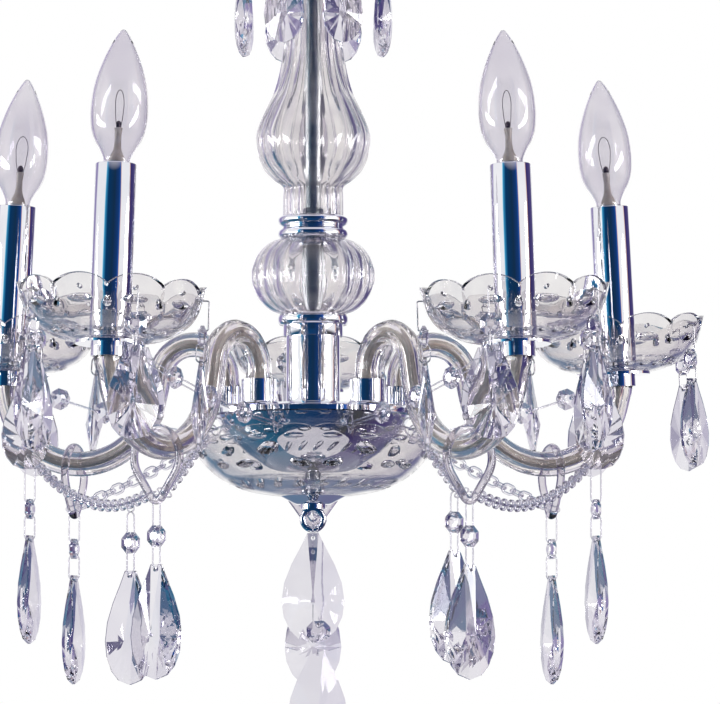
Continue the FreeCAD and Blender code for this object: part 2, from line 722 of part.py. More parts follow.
# ---------------------------------------------------------------------------------------------
# Hub
# ---------------------------------------------------------------------------------------------
def hub():
    """Pressed hub plate, cut glass dish, bottom cap and the ring under it."""
    lathe("hub_plate", [
        ("rod_radius + slip_gap", "-hub_plate_wall"),
        ("hub_plate_radius - 5", "-hub_plate_wall"),
        ("hub_plate_radius - hub_plate_wall", "-hub_plate_rise"),
        ("hub_plate_radius", "-hub_plate_rise"),
        ("hub_plate_radius", "-hub_plate_rise * 0.4"),
        ("hub_plate_radius - 4", "0"),
        ("rod_radius + slip_gap", "0"),
    ], at_height(hub_z))

    dish = new_body("main_dish")
    turned(dish, [
        ("rod_radius + slip_gap", "0"),
        ("dish_seat_radius", "0"),
        ("dish_radius * 0.77", "(dish_bottom_drop - dish_rim_drop) * 0.28",
         "dish_radius - 1", "dish_bottom_drop - dish_rim_drop - 12"),
        ("dish_radius", "dish_bottom_drop - dish_rim_drop"),
        ("dish_radius - dish_wall", "dish_bottom_drop - dish_rim_drop"),
        ("dish_radius - 1 - dish_wall", "dish_bottom_drop - dish_rim_drop - 12"),
        ("dish_radius * 0.75 - dish_wall * 0.6", "(dish_bottom_drop - dish_rim_drop) * 0.28 + dish_wall * 0.7",
         "dish_seat_radius", "dish_wall"),
        ("rod_radius + slip_gap", "dish_wall"),
    ])
    height = S.dish_bottom_drop - S.dish_rim_drop
    scallops(dish, S.dish_radius, height, "dish_scallop_count", S.dish_scallop_depth)
    rim_holes(dish, S.dish_radius, height - S.dish_hook_drop, "dish_hole_count", S.arm_first_azimuth)
    export(dish, at_height(dish_bottom_z))

    lathe("bottom_cap", [
        ("rod_radius + slip_gap", "0"),
        ("bottom_cap_low_radius", "0"),
        ("bottom_cap_radius", "bottom_cap_height"),
        ("rod_radius + slip_gap", "bottom_cap_height"),
    ], at_height(bottom_cap_z))

    neck = Part.makeCylinder(S.bottom_cap_low_radius - 3, S.finial_neck_height, V(0, 0, bottom_cap_z - S.finial_neck_height))
    ring = Part.makeTorus(S.finial_ring_radius, S.finial_wire_radius, V(0, 0, finial_ring_z), V(0, 1, 0))
    feature("finial_ring", [neck.fuse(ring)])


# ---------------------------------------------------------------------------------------------
# Arms
# ---------------------------------------------------------------------------------------------
def arm_azimuths():
    """Azimuth of each arm; the first is the front left one."""
    return [S.arm_first_azimuth + 360 * index / S.arm_count for index in range(int(S.arm_count))]


def crown_drop_azimuth(index):
    """Azimuth of a drop on the crown dish, in the middle of a lobe."""
    return 360 * (index + 0.5) / S.crown_drop_count


def arm_frame(azimuth):
    """Placement that turns an arm from its own XZ plane to its azimuth at the hub."""
    return FreeCAD.Placement(V(0, 0, hub_z), FreeCAD.Rotation(UP, azimuth))


def arm_points():
    """Corners and arc middles of the arm's centreline in its XZ plane, X outwards from the column.
    The U's radius and the slanting run above it follow from the reach, the dip and the slant."""
    slant = math.radians(S.arch_slant)
    lean = math.radians(S.arm_lean)
    out, rise = math.cos(slant), math.sin(slant)
    arch = V(S.cup_circle_radius + S.arch_radius, 0, S.arch_centre_height)
    across = S.arm_reach - arch.x - S.arch_radius * out
    down = -S.arm_dip - arch.z - S.arch_radius * rise
    scale = rise - out - 1
    run = (across * (1 - rise) + down * (1 + out)) / scale
    bend = (-down * rise - across * out) / scale
    foot = V(S.cup_circle_radius, 0, S.cup_floor)
    shoulder = V(S.cup_circle_radius, 0, arch.z)
    crest = arch + V(-math.sin(slant / 2), 0, math.cos(slant / 2)) * S.arch_radius
    arch_end = arch + V(out, 0, rise) * S.arch_radius
    bend_start = arch_end + V(rise, 0, -out) * run
    centre = bend_start + V(out, 0, rise) * bend
    lowest = centre - UP * bend
    bend_end = centre + V(math.cos(lean), 0, math.sin(lean)) * bend
    top = bend_end + V(-math.sin(lean), 0, math.cos(lean)) * S.arm_rise
    return [foot, shoulder, crest, arch_end, bend_start, lowest, bend_end, top], centre, bend


ARM_POINTS, BEND_CENTRE, BEND_RADIUS = arm_points()
LEAN = FreeCAD.Rotation(V(0, 1, 0), -S.arm_lean)
HEAD = FreeCAD.Placement(ARM_POINTS[-1] + LEAN.multVec(V(0, 0, S.end_cap_wall)), LEAN)


def arm_edges():
    """The centreline as three straight runs and two arcs."""
    foot, shoulder, crest, arch_end, bend_start, lowest, bend_end, top = ARM_POINTS
    return [
        Part.LineSegment(foot, shoulder).toShape(),
        Part.Arc(shoulder, crest, arch_end).toShape(),
        Part.LineSegment(arch_end, bend_start).toShape(),
        Part.Arc(bend_start, lowest, bend_end).toShape(),
        Part.LineSegment(bend_end, top).toShape(),
    ]


def under_arm(position):
    """Height of the U's centreline at a distance from the column."""
    return BEND_CENTRE.z - math.sqrt(BEND_RADIUS ** 2 - (position - BEND_CENTRE.x) ** 2)


def circle_sketch(body, name, place, radius):
    """Sketch of one circle at a placement in the body, its radius tied to a cell."""
    sketch = body.newObject("Sketcher::SketchObject", name)
    plane = next(item for item in body.Origin.OriginFeatures if item.Role == "XY_Plane")
    sketch.AttachmentSupport = [(plane, "")]
    sketch.MapMode = "FlatFace"
    sketch.AttachmentOffset = place
    circle = sketch.addGeometry(Part.Circle(V(), UP, getattr(S, radius)), False)
    sketch.addConstraint(Sketcher.Constraint("Coincident", -1, 1, circle, 3))
    index = sketch.addConstraint(Sketcher.Constraint("Radius", circle, getattr(S, radius)))
    sketch.setExpression("Constraints[%d]" % index, "Sizes." + radius)
    return sketch


def glass_arm(label, azimuth):
    """Bent glass tube with a thicker collar at each end and a bore for the lamp wire."""
    body = new_body(label)
    foot, shoulder, crest, arch_end, bend_start, lowest, bend_end, top = ARM_POINTS
    spine = outline(body, label + "_spine", [
        (foot.x, foot.z),
        (shoulder.x, shoulder.z),
        (crest.x, crest.z, arch_end.x, arch_end.z),
        (bend_start.x, bend_start.z),
        (lowest.x, lowest.z, bend_end.x, bend_end.z),
        (top.x, top.z),
    ], closed=False)
    at_foot = FreeCAD.Placement(foot, FreeCAD.Rotation())
    at_top = FreeCAD.Placement(top - LEAN.multVec(V(0, 0, S.arm_collar_length)), LEAN)
    for kind, name, radius in (
        ("PartDesign::AdditivePipe", "tube", "arm_tube_radius"),
        ("PartDesign::SubtractivePipe", "bore", "arm_bore_radius"),
    ):
        if kind == "PartDesign::SubtractivePipe":
            for end, place in (("foot", at_foot), ("top", at_top)):
                collar = body.newObject("PartDesign::Pad", label + "_" + end + "_collar")
                collar.Profile = circle_sketch(body, label + "_" + end + "_ring", place, "arm_collar_radius")
                collar.setExpression("Length", "Sizes.arm_collar_length")
        pipe = body.newObject(kind, label + "_" + name)
        pipe.Profile = circle_sketch(body, label + "_" + name + "_section", at_foot, radius)
        pipe.Spine = (spine, [])
    return export(body, arm_frame(azimuth))


def arms():
    """Glass arms, the chrome cups they stand in, and the wire inside each."""
    cup = form("arm_cup_form", [
        ("arm_bore_radius", "0"),
        ("cup_radius - 1", "0"),
        ("cup_radius", "1"),
        ("cup_radius", "cup_height"),
        ("cup_radius - cup_wall", "cup_height"),
        ("cup_radius - cup_wall", "cup_floor"),
        ("arm_bore_radius", "cup_floor"),
    ])
    at_cup = FreeCAD.Placement(V(S.cup_circle_radius, 0, 0), FreeCAD.Rotation())
    feature("arm_cups", [placed(cup, arm_frame(a).multiply(at_cup)) for a in arm_azimuths()])
    for number, azimuth in enumerate(arm_azimuths(), start=1):
        glass_arm("glass_arm_%d" % number, azimuth)
    wire = swept(Part.Wire(arm_edges()), ARM_POINTS[0], UP, S.arm_wire_radius)
    feature("arm_wires", [placed(wire, arm_frame(a)) for a in arm_azimuths()])


def form(label, steps):
    """Turned shape that is only copied from, never written by itself."""
    body = new_body(label)
    turned(body, steps)
    body.recompute(True)
    return body.Shape


# ---------------------------------------------------------------------------------------------
# Candle heads
# ---------------------------------------------------------------------------------------------
def head_frame(azimuth):
    """Placement of a candle head: its Z runs up the leaning candle from the end cap's top."""
    return arm_frame(azimuth).multiply(HEAD)


def bobeche(label, azimuth):
    """Deep glass drip dish with a scalloped rim and holes for its hanging drops."""
    body = new_body(label)
    turned(body, [
        ("bobeche_bore", "0"),
        ("bobeche_seat_radius - 1.5", "0"),
        ("bobeche_radius * 0.73", "bobeche_height * 0.2", "bobeche_radius - 4.5", "bobeche_height - 16"),
        ("bobeche_radius", "bobeche_height"),
        ("bobeche_radius - bobeche_wall", "bobeche_height"),
        ("bobeche_radius - 4.5 - bobeche_wall", "bobeche_height - 15"),
        ("bobeche_radius * 0.7", "bobeche_height * 0.2 + bobeche_wall * 0.9",
         "bobeche_seat_radius - 1.5", "bobeche_wall"),
        ("bobeche_bore", "bobeche_wall"),
    ])
    scallops(body, S.bobeche_radius, S.bobeche_height, "bobeche_scallop_count", S.bobeche_scallop_depth)
    rim_holes(body, S.bobeche_radius, S.bobeche_height - S.bobeche_hole_drop, "bobeche_scallop_count",
              180 / S.bobeche_scallop_count)
    return export(body, head_frame(azimuth))


def candle_heads():
    """End caps, drip dishes, sleeves, lamp holders and bulbs."""
    sleeve_top = S.bobeche_wall + S.sleeve_height
    cap = form("end_cap_form", [
        ("bobeche_bore", "0"),
        ("end_cap_radius", "0"),
        ("end_cap_radius", "-end_cap_wall"),
        ("arm_collar_radius + slip_gap + end_cap_wall", "-end_cap_wall"),
        ("arm_collar_radius + slip_gap + end_cap_wall", "-end_cap_height"),
        ("arm_collar_radius + slip_gap", "-end_cap_height"),
        ("arm_collar_radius + slip_gap", "-end_cap_wall"),
        ("bobeche_bore", "-end_cap_wall"),
    ])
    caps = []
    for azimuth in arm_azimuths():
        eyelet = Part.makeTorus(S.eyelet_radius, S.eyelet_wire_radius, eyelet_centre(azimuth), V(1, 0, 0))
        caps.append(placed(cap.fuse(eyelet), head_frame(azimuth)))
    feature("arm_end_caps", caps)

    holder_top = sleeve_top - 2
    holder_low = holder_top - S.holder_height
    holder = form("lamp_holder_form", [
        ("stem_bore", "-end_cap_wall"),
        ("holder_stem_radius", "-end_cap_wall"),
        ("holder_stem_radius", holder_low),
        ("holder_radius", holder_low),
        ("holder_radius", holder_top),
        ("holder_mouth", holder_top),
        ("holder_mouth", holder_top - S.holder_depth),
        ("stem_bore", holder_top - S.holder_depth),
    ])
    feature("lamp_holders", [placed(holder, head_frame(a)) for a in arm_azimuths()])

    envelope, bulb_cap, bulb_stem = bulb_forms()
    bulb_place = bulb_frame(holder_top)
    for number, azimuth in enumerate(arm_azimuths(), start=1):
        bobeche("bobeche_%d" % number, azimuth)
        on_dish = FreeCAD.Placement(V(0, 0, S.bobeche_wall), FreeCAD.Rotation())
        lathe("candle_sleeve_%d" % number, [
            ("sleeve_radius - sleeve_wall", "0"),
            ("sleeve_radius", "0"),
            ("sleeve_radius", "sleeve_height"),
            ("sleeve_radius - sleeve_wall", "sleeve_height"),
        ], head_frame(azimuth).multiply(on_dish))
        place = head_frame(azimuth).multiply(bulb_place)
        feature("bulb_%d" % number, [placed(item, place) for item in (envelope, bulb_cap, bulb_stem)])


def garland_side(azimuth):
    """Side of an arm its bead garland hangs on: the front side of the left arms and of the right arms,
    and the right side of the rear arm."""
    return 1 if math.cos(math.radians(azimuth)) < -0.01 else -1


def eyelet_centre(azimuth):
    """Centre of the small ring under an end cap, on the side that faces the column and clear of the
    glass arm."""
    turn = math.radians(S.eyelet_turn)
    low = -S.end_cap_wall - S.eyelet_radius + S.eyelet_wire_radius / 2
    return V(-S.eyelet_position * math.cos(turn),
             garland_side(azimuth) * S.eyelet_position * math.sin(turn), low)


def bulb_frame(holder_top):
    """The bulb leans a little further in than its candle, about the middle of its cap."""
    middle = V(0, 0, holder_top + 1 - S.bulb_cap_length / 2)
    turn = FreeCAD.Rotation(V(0, 1, 0), -S.bulb_lean)
    return FreeCAD.Placement(middle - turn.multVec(V(0, 0, S.bulb_cap_length / 2)), turn)


def bulb_forms():
    """Clear torpedo envelope, screw cap and the glass stem that carries the filament.
    Heights are from the bottom of the cap."""
    base = S.bulb_cap_length + 1.5
    top = base + S.bulb_length
    wall = S.bulb_wall

    def shell(inset):
        """Half outline of the envelope, inset by a wall."""
        neck = V(S.bulb_neck_radius - inset, 0, base)
        widest = V(S.bulb_radius - inset, 0, base + S.bulb_length * 0.4)
        shoulder = V(S.bulb_radius * 0.37 - inset * 0.8, 0, base + S.bulb_length * 0.88)
        tip = V(0.5, 0, top - inset)
        low = V(S.bulb_radius * 0.86 - inset, 0, base + S.bulb_length * 0.19)
        high = V(S.bulb_radius * 0.80 - inset, 0, base + S.bulb_length * 0.68)
        cone = V(S.bulb_radius * 0.15 - inset * 0.3, 0, base + S.bulb_length * 0.966)
        edges = [
            Part.Arc(neck, low, widest).toShape(),
            Part.Arc(widest, high, shoulder).toShape(),
            Part.Arc(shoulder, cone, tip).toShape(),
            Part.LineSegment(tip, V(0, 0, tip.z)).toShape(),
            Part.LineSegment(V(0, 0, tip.z), V(0, 0, base)).toShape(),
            Part.LineSegment(V(0, 0, base), neck).toShape(),
        ]
        return Part.Face(Part.Wire(edges)).revolve(V(), UP, 360)

    mouth = Part.makeCylinder(S.bulb_neck_radius - wall, wall, V(0, 0, base))
    envelope = shell(0).cut(shell(wall).fuse(mouth))
    cap_body = Part.makeCylinder(S.bulb_cap_radius, S.bulb_cap_length)
    cap_rim = Part.makeCylinder(S.bulb_neck_radius, base - S.bulb_cap_length, V(0, 0, S.bulb_cap_length))
    stem = Part.makeCone(
        S.bulb_stem_radius + 2, S.bulb_stem_radius * 0.5, S.bulb_stem_height, V(0, 0, base))
    return envelope, cap_body.fuse(cap_rim), stem


# ---------------------------------------------------------------------------------------------
# Crystals
# ---------------------------------------------------------------------------------------------
def cut_crystal(profile, apex, table, thickness, holes):
    """Faceted crystal with its flat girdle in the YZ plane. profile is its outline, apex the height of
    its facets' centre, table the radius of a flat table there (0 for a point)."""
    rim = S.girdle / 2
    count = len(profile)
    faces = []
    for index in range(count):
        (y0, z0), (y1, z1) = profile[index], profile[(index + 1) % count]
        faces.append([V(-rim, y0, z0), V(-rim, y1, z1), V(rim, y1, z1), V(rim, y0, z0)])
        for side in (-1, 1):
            low, high = V(side * rim, y0, z0), V(side * rim, y1, z1)
            if table:
                inner = [V(side * thickness / 2, y * table, apex + (z - apex) * table) for y, z in ((y1, z1), (y0, z0))]
                faces.append([low, high, inner[0], inner[1]])
            else:
                faces.append([low, high, V(side * thickness / 2, 0, apex)])
    if table:
        for side in (-1, 1):
            faces.append([V(side * thickness / 2, y * table, apex + (z - apex) * table) for y, z in profile])
    solid = faceted(faces)
    for height in holes:
        drill = Part.makeCylinder(S.pin_hole, thickness * 2, V(-thickness, 0, height), V(1, 0, 0))
        solid = solid.cut(drill)
    return solid


def bead():
    """Octagon bead with a pin hole near its top and bottom corners, centred on the origin."""
    profile = []
    for corner in range(8):
        angle = math.radians(22.5 + 45 * corner)
        profile.append((S.bead_radius * math.cos(angle), S.bead_radius * math.sin(angle)))
    reach = S.bead_radius - S.hole_inset
    return cut_crystal(profile, 0, S.bead_table_radius / S.bead_radius, S.bead_thickness, (reach, -reach))


def drop(length, width, thickness):
    """Pear drop: blunt drilled top, round lower end. Top at z = 0."""
    blunt = 3.6
    widest = 0.62
    right = []
    for station in (0, 0.12, 0.28, 0.45, 0.62, 0.76, 0.88, 0.96):
        if station < widest:
            reach = blunt + (width / 2 - blunt) * math.sin(math.pi / 2 * station / widest) ** 1.15
        else:
            reach = width / 2 * math.sqrt(1 - ((station - widest) / (1 - widest)) ** 2)
        right.append((reach, -length * station))
    left = [(-y, z) for y, z in reversed(right)]
    return cut_crystal(right + [(0, -length)] + left, -length * widest, 0, thickness, (-S.hole_inset,))


def hanging_string(support, wire_drop, bead_drop, crystal, offset=0, eye_turn=None):
    """One bead and one drop under a support. Local X is the crystals' face direction, z = 0 the
    support's centre. support is the radius of a held wire, or None for a hole in a rim. eye_turn, if
    given, twists the top of the wire into a small eye whose axis is that many degrees from X.
    Returns the crystals and the wire pins between them."""
    upper = -wire_drop
    centre = upper - (S.bead_radius - S.hole_inset)
    lower = centre - (S.bead_radius - S.hole_inset)
    hole = lower - bead_drop
    pins = []
    if support is None:
        reach = S.pin_reach + offset
        points = [V(-S.pin_reach, 0, 0), V(reach, 0, 0), V(reach, 0, upper), V(offset - S.pin_reach + 0.6, 0, upper)]
        pins.append(bent_rod(points, 1.2, S.pin_radius))
    else:
        top = support + S.running_gap + S.pin_radius
        if eye_turn is not None:
            eye = Part.makeTorus(S.eye_radius, S.pin_radius, V(0, 0, top - S.eye_radius), polar(1, eye_turn))
            top -= 2 * S.eye_radius
        loop = oval(S.pin_reach, (top - upper) / 2, S.pin_radius).translated(V(0, 0, (top + upper) / 2))
        pins.append(loop if eye_turn is None else loop.fuse(eye))
    second = oval(S.pin_reach, (lower - hole) / 2, S.pin_radius)
    pins.append(second.translated(V(offset, 0, (lower + hole) / 2)))
    crystals = [bead_shape.translated(V(offset, 0, centre)), crystal.translated(V(offset, 0, hole + S.hole_inset))]
    return crystals, pins


bead_shape = bead()
large_drop = drop(S.large_drop_length, S.large_drop_width, S.large_drop_thickness)
small_drop = drop(S.small_drop_length, S.small_drop_width, S.small_drop_thickness)
crown_drop = drop(S.crown_drop_length, S.crown_drop_width, S.small_drop_thickness)
centre_drop = drop(S.large_drop_length, S.centre_drop_width, S.large_drop_thickness)


def rim_strings():
    """Drops round each bobeche and round the crown dish, and the pins that hold them."""
    crystals, crown_crystals, pins = [], [], []
    hole_height = S.bobeche_height - S.bobeche_hole_drop
    hole_radius = S.bobeche_radius - S.bobeche_wall / 2 - 4.5 * (S.bobeche_height - hole_height) / 16
    long_string = hanging_string(None, S.rim_wire_drop, S.rim_bead_wire_drop, small_drop, S.rim_bead_offset)
    short_string = hanging_string(None, S.rim_short_wire_drop, S.rim_bead_wire_drop, small_drop,
                                  S.rim_short_bead_offset)
    for azimuth in arm_azimuths():
        for index in range(int(S.bobeche_drop_count)):
            lobe = 360 * index / S.bobeche_drop_count - 180 / S.bobeche_scallop_count
            turn = FreeCAD.Rotation(UP, garland_side(azimuth) * lobe)
            spot = turn.multVec(V(hole_radius, 0, hole_height))
            place = head_frame(azimuth).multiply(FreeCAD.Placement(spot, turn))
            string = short_string if abs(lobe - 180) < 360 / S.bobeche_scallop_count else long_string
            crystals += [placed(item, place) for item in string[0]]
            pins += [placed(item, place) for item in string[1]]
    string = hanging_string(None, S.crown_wire_drop, S.rim_bead_wire_drop, crown_drop, S.rim_bead_offset)
    radius = S.crown_radius - S.crown_wall / 2 - S.rim_hole_drop * 0.45
    for index in range(int(S.crown_drop_count)):
        turn = FreeCAD.Rotation(UP, crown_drop_azimuth(index))
        spot = turn.multVec(V(radius, 0, crown_seat_z + S.crown_height - S.rim_hole_drop))
        place = FreeCAD.Placement(spot, turn)
        crown_crystals += [placed(item, place) for item in string[0]]
        pins += [placed(item, place) for item in string[1]]
    feature("bobeche_drops", crystals)
    feature("crown_drops", crown_crystals)
    feature("rim_pins", pins)


# ---------------------------------------------------------------------------------------------
# Wishbone hangers, the strings under them and the centre drops
# ---------------------------------------------------------------------------------------------
def wishbone_levels():
    """Heights of the wishbone: its top wire's centre, its round top's centre, and its tip's centre."""
    top = under_arm(S.wishbone_position) + S.arm_tube_radius + S.running_gap + S.wishbone_wire_radius
    return top, top - S.wishbone_half_width, top - S.wishbone_depth + S.wishbone_tip_radius


def wishbone():
    """Clear teardrop loop that rides on the arm, in a plane square to it."""
    top, middle, tip = wishbone_levels()
    slope = math.asin((S.wishbone_half_width - S.wishbone_tip_radius) / (middle - tip))
    halves = []
    for side in (-1, 1):
        def on(centre, radius, angle):
            """Point on one of the two arcs, angles from the horizontal."""
            return V(S.wishbone_position, side * radius * math.cos(angle), centre + radius * math.sin(angle))
        half_tip = (-math.pi / 2 - slope) / 2
        half_top = (math.pi / 2 - slope) / 2
        edges = [
            Part.Arc(on(tip, S.wishbone_tip_radius, -math.pi / 2), on(tip, S.wishbone_tip_radius, half_tip),
                     on(tip, S.wishbone_tip_radius, -slope)).toShape(),
            Part.LineSegment(on(tip, S.wishbone_tip_radius, -slope),
                             on(middle, S.wishbone_half_width, -slope)).toShape(),
            Part.Arc(on(middle, S.wishbone_half_width, -slope), on(middle, S.wishbone_half_width, half_top),
                     on(middle, S.wishbone_half_width, math.pi / 2)).toShape(),
        ]
        start = on(tip, S.wishbone_tip_radius, -math.pi / 2)
        halves.append(swept(Part.Wire(edges), start, V(0, side, 0), S.wishbone_wire_radius))
    return halves[0].fuse(halves[1]).removeSplitter()


def leg_point(side, rise):
    """Point on a wishbone leg's centreline at a height above the tip's centre, and the leg's direction."""
    top, middle, tip = wishbone_levels()
    slope = math.asin((S.wishbone_half_width - S.wishbone_tip_radius) / (middle - tip))
    along = V(0, side * math.sin(slope), math.cos(slope))
    start = V(S.wishbone_position, side * S.wishbone_tip_radius * math.cos(slope),
              tip - S.wishbone_tip_radius * math.sin(slope))
    return start + along * rise, along


def outer_hook():
    """Wire ring round the outer part of an arm's U, which carries the second string. It hangs on the
    tube's top, so its slack is all below. Returns the ring and its lowest wire's centre."""
    position = S.outer_hook_position
    outwards = (V(position, 0, under_arm(position)) - BEND_CENTRE).normalize()
    radius = S.arm_tube_radius + S.running_gap + S.outer_hook_wire_radius + S.outer_hook_slack / 2
    centre = BEND_CENTRE + outwards * (BEND_RADIUS + S.outer_hook_slack / 2)
    ring = Part.makeTorus(radius, S.outer_hook_wire_radius, centre, outwards.cross(V(0, 1, 0)))
    return ring, centre + outwards * radius


def tip_point(azimuth):
    """Centre of a wishbone's lowest wire."""
    tip_z = wishbone_levels()[0] - S.wishbone_depth
    return arm_frame(azimuth).multVec(V(S.wishbone_position, 0, tip_z))


def hangers(chain_holds):
    """Wishbones and outer hooks, and the two strings under each arm. chain_holds gives, by arm number,
    where a second string hangs on a chain link instead of a hook, and that link's direction."""
    loop = wishbone()
    hook, hook_low = outer_hook()
    main = hanging_string(S.wishbone_wire_radius, S.string_wire_drop, S.bead_wire_drop, large_drop)
    on_hook = hanging_string(S.outer_hook_wire_radius, S.outer_wire_drop, S.bead_wire_drop, large_drop)
    hooks = []
    for number, azimuth in enumerate(arm_azimuths(), start=1):
        hooks.append(placed(loop, arm_frame(azimuth)))
        turn = FreeCAD.Rotation(UP, azimuth)
        at_tip = FreeCAD.Placement(tip_point(azimuth), turn)
        feature("arm_pendant_%d" % number, [placed(item, at_tip) for item in main[0] + main[1]])
        if number in chain_holds:
            spot, along = chain_holds[number]
            eye_turn = math.degrees(math.atan2(along.y, along.x)) - azimuth
            second = hanging_string(
                S.link_wire_radius, S.string_wire_drop, S.bead_wire_drop, large_drop, eye_turn=eye_turn)
            place = FreeCAD.Placement(spot, turn)
        else:
            second, place = on_hook, arm_frame(azimuth).multiply(FreeCAD.Placement(hook_low, FreeCAD.Rotation()))
            hooks.append(placed(hook, arm_frame(azimuth)))
        feature("outer_pendant_%d" % number, [placed(item, place) for item in second[0] + second[1]])
    feature("arm_hooks", hooks)


def centre_string():
    """Large drop under the finial ring, and a bead and drop on a longer wire behind it."""
    ring_low = finial_ring_z - S.finial_ring_radius
    facing = FreeCAD.Placement(V(0, 0, ring_low), FreeCAD.Rotation(UP, -90))
    top = S.finial_wire_radius + S.running_gap + S.pin_radius
    hole = -S.finial_wire_radius - S.running_gap - S.hole_inset
    loop = oval(S.pin_reach, (top - hole) / 2, S.pin_radius).translated(V(0, 0, (top + hole) / 2))
    front = centre_drop.translated(V(0, 0, hole + S.hole_inset))

    side = S.centre_string_side
    share = side / S.finial_ring_radius
    lift = S.finial_ring_radius * (1 - math.sqrt(1 - share ** 2))
    back = -S.centre_string_back
    over = lift + top / math.sqrt(1 - share ** 2)
    low = -S.centre_string_drop
    hook = bent_rod([
        V(S.pin_reach, side, over - 5),
        V(S.pin_reach, side, over),
        V(back - S.pin_reach, side, over),
        V(back - S.pin_reach, side, low),
        V(back + S.pin_reach, side, low),
    ], 1.2, S.pin_radius)
    centre = low - (S.bead_radius - S.hole_inset)
    lower = centre - (S.bead_radius - S.hole_inset)
    end = lower - S.rim_bead_wire_drop
    second = oval(S.pin_reach, (lower - end) / 2, S.pin_radius).translated(V(back, side, (lower + end) / 2))
    bead_low = bead_shape.translated(V(back, side, centre))
    drop_low = large_drop.translated(V(back, side, end + S.hole_inset))
    feature("centre_drops", [placed(item, facing) for item in (front, loop, hook, bead_low, second, drop_low)])


# ---------------------------------------------------------------------------------------------
# Garlands
# ---------------------------------------------------------------------------------------------
def sagging(start, end, steps):
    """Centres of pieces strung between two points with the given centre distances, hanging in a
    parabola. The sag is found by halving an interval until the last step ends at the far point."""
    chord = end - start

    def spot(share, sag):
        return start + chord * share - UP * (4 * sag * share * (1 - share))

    def walk(sag):
        """Shares of the span reached by each step along the curve."""
        shares = [0.0]
        for step in steps:
            low, high = shares[-1], shares[-1] + 1.0
            here = spot(shares[-1], sag)
            for _ in range(40):
                middle = (low + high) / 2
                if (spot(middle, sag) - here).Length < step:
                    low = middle
                else:
                    high = middle
            shares.append(low)
        return shares

    less, more = 0.0, chord.Length
    for _ in range(40):
        sag = (less + more) / 2
        if walk(sag)[-1] > 1:
            less = sag
        else:
            more = sag
    return [spot(share, less) for share in walk(less)]


def lay_pieces(points, shapes, first, last):
    """Place each shape with its own Z along the string. first and last are the face directions at the
    two ends; a piece that is marked turned has its face a quarter turn about the string.
    Each entry is the placed shape, its centre, its own Z and its face direction."""
    laid = []
    for index, (shape, turned_piece) in enumerate(shapes):
        share = index / (len(shapes) - 1)
        along = (points[index + 2] - points[index]).normalize()
        side = first * (1 - share) + last * share
        side = (side - along * side.dot(along)).normalize()
        if turned_piece:
            side = along.cross(side)
        laid.append((placed(shape, axes(points[index + 1], side, along)), points[index + 1], along, side))
    return laid


def end_ring():
    """Wire ring at the end of a garland, centred on the origin with its face along X."""
    return Part.makeTorus(S.garland_ring_radius, S.garland_ring_wire_radius, V(), V(1, 0, 0))


def oval_chain(start, end, radii, first, last, slack=S.garland_slack):
    """Clear oval links between a ring at each end. radii are the held wires' radii at the two ends.
    The links are counted to reach just past the distance, and lie a little closer than pulled tight."""
    half = S.link_length / 2 - S.link_wire_radius
    link = oval(S.link_width / 2 - S.link_wire_radius, half, S.link_wire_radius)
    link.rotate(V(), UP, 90)
    ends = [S.garland_ring_radius - S.garland_ring_wire_radius - radius - S.running_gap for radius in radii]
    joint = S.garland_ring_radius + half - S.garland_ring_wire_radius - S.link_wire_radius - S.running_gap
    tight = 2 * half - 2 * S.link_wire_radius - S.running_gap
    span = (end - start).Length * slack - sum(ends) - 2 * joint
    count = int(math.ceil(span / tight)) + 1
    count += 1 - count % 2
    pitch = max(span / (count - 1), (S.link_length + S.running_gap) / 2)
    steps = [ends[0], joint] + [pitch] * (count - 1) + [joint, ends[1]]
    shapes = [(end_ring(), False)] + [(link, index % 2 == 0) for index in range(count)] + [(end_ring(), False)]
    return lay_pieces(sagging(start, end, steps), shapes, first, last)


def bead_garland(start, end):
    """Beads joined by wire clips that are cut to length for the span, from a ring on the end cap's
    eyelet to a clip hooked on the dish's ring."""
    count = int(S.garland_bead_count)
    reach = S.bead_radius - S.hole_inset
    on_eyelet = S.garland_ring_radius - S.garland_ring_wire_radius - S.eyelet_wire_radius - S.running_gap
    in_ring = S.garland_ring_radius - S.garland_ring_wire_radius - S.running_gap - S.pin_radius
    on_dish = S.garland_ring_wire_radius + S.running_gap + S.pin_radius
    chord = (end - start).Length * S.garland_slack
    clip = (chord - on_eyelet - in_ring - 2 * reach * count + on_dish) / (2 * count + 2)
    loop = oval(S.pin_reach, clip, S.pin_radius)
    steps = [on_eyelet, clip + in_ring] + [clip + reach] * (2 * count) + [clip - on_dish]
    shapes = [(end_ring(), False), (loop, False)] + [(bead_shape, False), (loop, False)] * count
    level = UP.cross(end - start).normalize()
    return lay_pieces(sagging(start, end, steps), shapes, level, level)


def dish_ring(azimuth):
    """Wire ring through a hole near the dish's rim. Returns it and its outermost wire's centre."""
    hole_z = hub_z - S.dish_rim_drop - S.dish_hook_drop
    wall = S.dish_radius - S.dish_wall / 2 - S.dish_hook_drop / 12
    centre = polar(wall, azimuth, hole_z + S.dish_ring_radius)
    ring = Part.makeTorus(S.dish_ring_radius, S.garland_ring_wire_radius, centre, polar(1, azimuth + 90))
    return ring, centre + polar(S.dish_ring_radius, azimuth)


def leg_hold(azimuth, side, rise):
    """Where a chain's end ring holds a wishbone leg, and the leg's direction."""
    spot, along = leg_point(side, rise)
    return arm_frame(azimuth).multVec(spot), FreeCAD.Rotation(UP, azimuth).multVec(along)


